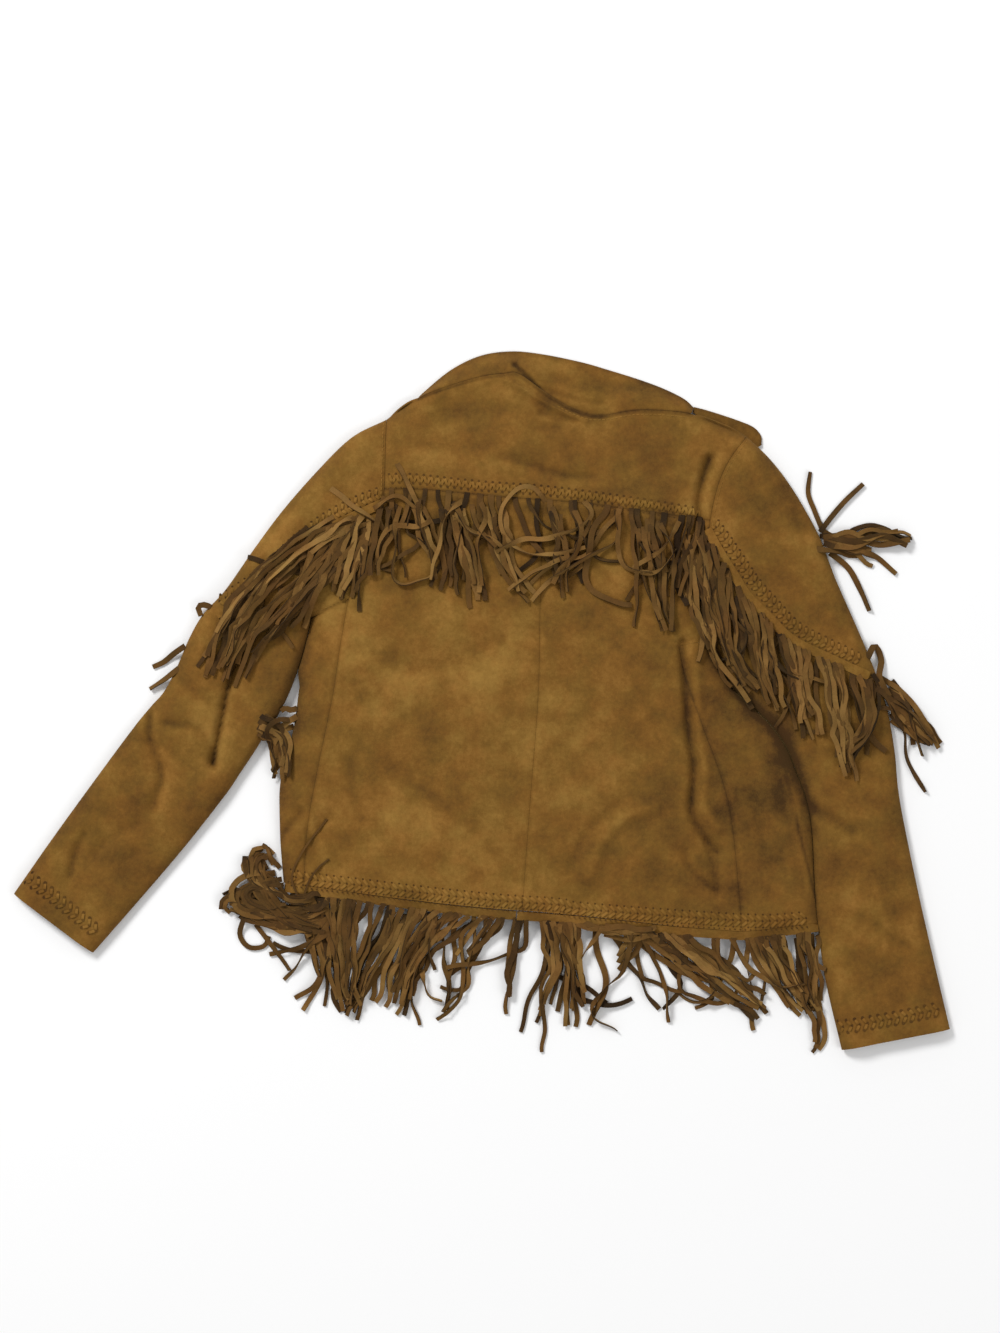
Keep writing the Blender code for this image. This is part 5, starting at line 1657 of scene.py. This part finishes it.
# %% [markdown]
# At the left end of the hem the strands have gathered in one thick bunch that loops back on itself,
# with two thin threads of suede that lie up over the side panel.

# %% Bunch at the corner of the hem
CORNER = (
    ((-236, -206), (-242, -226), (-233, -239), (-218, -238), (-213, -228)),
    ((-226, -216), (-214, -232), (-203, -246), (-192, -262)),
    ((-214, -214), (-196, -224), (-178, -221), (-172, -228)),
    ((-202, -160), (-210, -150), (-214, -140), (-219, -136)),
    ((-236, -150), (-238, -160), (-226, -172), (-206, -182)),
)
CORNER_THIN = (
    ((-182, -190), (-189, -168), (-178, -142), (-154, -110)),
    ((-178, -190), (-172, -172), (-162, -158), (-152, -150)),
)
CORNER_BUNDLES = (
    (8, 24, 0.1, (
        (-146, -198), (-172, -210), (-202, -208), (-232, -196), (-249, -189), (-257, -198),
        (-249, -209),
    )),
    (7, 22, 0.1, (
        (-158, -188), (-182, -194), (-207, -186), (-224, -168), (-227, -152), (-217, -145),
        (-208, -158),
    )),
    (7, 22, 0.1, ((-240, -196), (-216, -206), (-190, -213), (-165, -219), (-146, -222))),
    (6, 20, 0.1, ((-226, -148), (-226, -168), (-214, -190), (-196, -206), (-176, -216))),
    (5, 16, 0.1, (
        (-196, -170), (-214, -174), (-232, -176), (-240, -188), (-232, -198), (-212, -200),
        (-190, -196),
    )),
)
lock("lock_hem_corner", "fringe_hem_corner", CORNER, 20, CORNER_BUNDLES, CORNER_THIN)

# %% [markdown]
# Suede is laid out as sheets, and the size each panel was cut to is listed here. A tube's cut goes
# all the way round it.

# %% Cut sizes in metres: width, length and flat area
CUTS = {
    "suede_yoke": (
        0.362, 0.150, 0.0360, ["suede_back_left", "suede_back_right"], ["fringe_yoke_strands"],
    ),
    "suede_back_left": (0.240, 0.420, 0.0815, ["suede_front_left"], ["fringe_hem_left_strands"]),
    "suede_back_right": (0.220, 0.430, 0.0740, ["suede_front_right"], ["fringe_hem_right_strands"]),
    "suede_side_left": (
        0.092, 0.292, 0.0156, ["suede_front_left"], ["lock_side_left", "lock_hem_corner"],
    ),
    "suede_side_right": (0.160, 0.298, 0.0273, ["suede_front_right"], []),
    "suede_front_left": (0.256, 0.510, 0.1006, [], []),
    "suede_front_right": (0.248, 0.512, 0.0905, [], []),
    "suede_sleeve_left": (
        0.380, 0.620, 0.1219, ["suede_front_left"], ["fringe_sleeve_left_strands", "lock_left"],
    ),
    "suede_sleeve_right": (
        0.400, 0.640, 0.1366, ["suede_front_right"],
        ["fringe_sleeve_right_strands", "lock_right_top", "lock_right_low"],
    ),
    "suede_collar": (0.292, 0.058, 0.0094, ["suede_yoke"], []),
    "suede_lapel": (0.076, 0.022, 0.0010, ["suede_front_right"], []),
}
for name, (width, length, area, rests_on, with_pieces) in CUTS.items():
    print(name, "cut from", round(width * 1000), "by", round(length * 1000), "mm")

# %% [markdown]
# A product picture wants a plain pale floor that comes out nearly white. The floor is one square a
# hair below the jacket, with a rough white paint.

# %% Floor
FLOOR_DROP = 0.0004
floor_mesh = bmesh.new()
bmesh.ops.create_grid(floor_mesh, x_segments=1, y_segments=1, size=6)
bmesh.ops.translate(floor_mesh, verts=floor_mesh.verts, vec=(0, 0, -FLOOR_DROP))
floor_data = bpy.data.meshes.new("floor")
floor_mesh.to_mesh(floor_data)
floor_mesh.free()
floor = in_scene("floor", floor_data)
floor_paint = bpy.data.materials.new("floor_paint")
floor_paint.use_nodes = True
floor_shader = floor_paint.node_tree.nodes["Principled BSDF"]
floor_shader.inputs["Base Color"].default_value = (0.93, 0.93, 0.93, 1)
floor_shader.inputs["Roughness"].default_value = 0.9
floor_data.materials.append(floor_paint)
print("the floor lies", FLOOR_DROP * 1000, "mm below the jacket")

# %% [markdown]
# Suede is lit best from the side, because a slanting light shows its folds and its nap. One broad
# light does that, a weak one opposite keeps the shadows open, and an even sky fills the rest. The
# plain view transform keeps the pale floor from turning grey.

# %% Lights
SKY_STRENGTH = 0.52
bpy.context.scene.view_settings.view_transform = "Standard"
world = bpy.data.worlds.new("studio")
world.use_nodes = True
sky = world.node_tree.nodes["Background"]
sky.inputs["Color"].default_value = (1, 1, 1, 1)
sky.inputs["Strength"].default_value = SKY_STRENGTH
bpy.context.scene.world = world


def softbox(name, place, size, power):
    """A round soft light that looks at the middle of the jacket."""
    data = bpy.data.lights.new(name, "AREA")
    data.shape, data.size, data.energy = "DISK", size, power
    lamp = in_scene(name, data)
    lamp.location = place
    lamp.rotation_mode = "QUATERNION"
    lamp.rotation_quaternion = (-Vector(place)).to_track_quat("-Z", "Y")
    print(name, "light of", power, "watts")


softbox("key", (-2.5, 3.0, 3.2), 1.5, 195)
softbox("fill", (2.6, -1.6, 2.8), 2.4, 30)

# %% [markdown]
# A jacket laid out flat is shown from straight above. The camera hangs well over it, so that the
# sleeves aren't drawn smaller than the middle, and its lens takes in the whole frame.

# %% Camera
VIEW_MIDDLE, VIEW_HEIGHT, VIEW_HALF = (0.018, 0.0415), 2.6, 0.6665
SENSOR = 36
camera_data = bpy.data.cameras.new("camera")
camera_data.sensor_width = SENSOR
camera_data.lens = SENSOR / 2 / (VIEW_HALF / VIEW_HEIGHT)
camera_data.clip_end = 50
camera = in_scene("camera", camera_data)
camera.location = (*VIEW_MIDDLE, VIEW_HEIGHT)
bpy.context.scene.camera = camera
print("lens", round(camera_data.lens, 1), "mm")
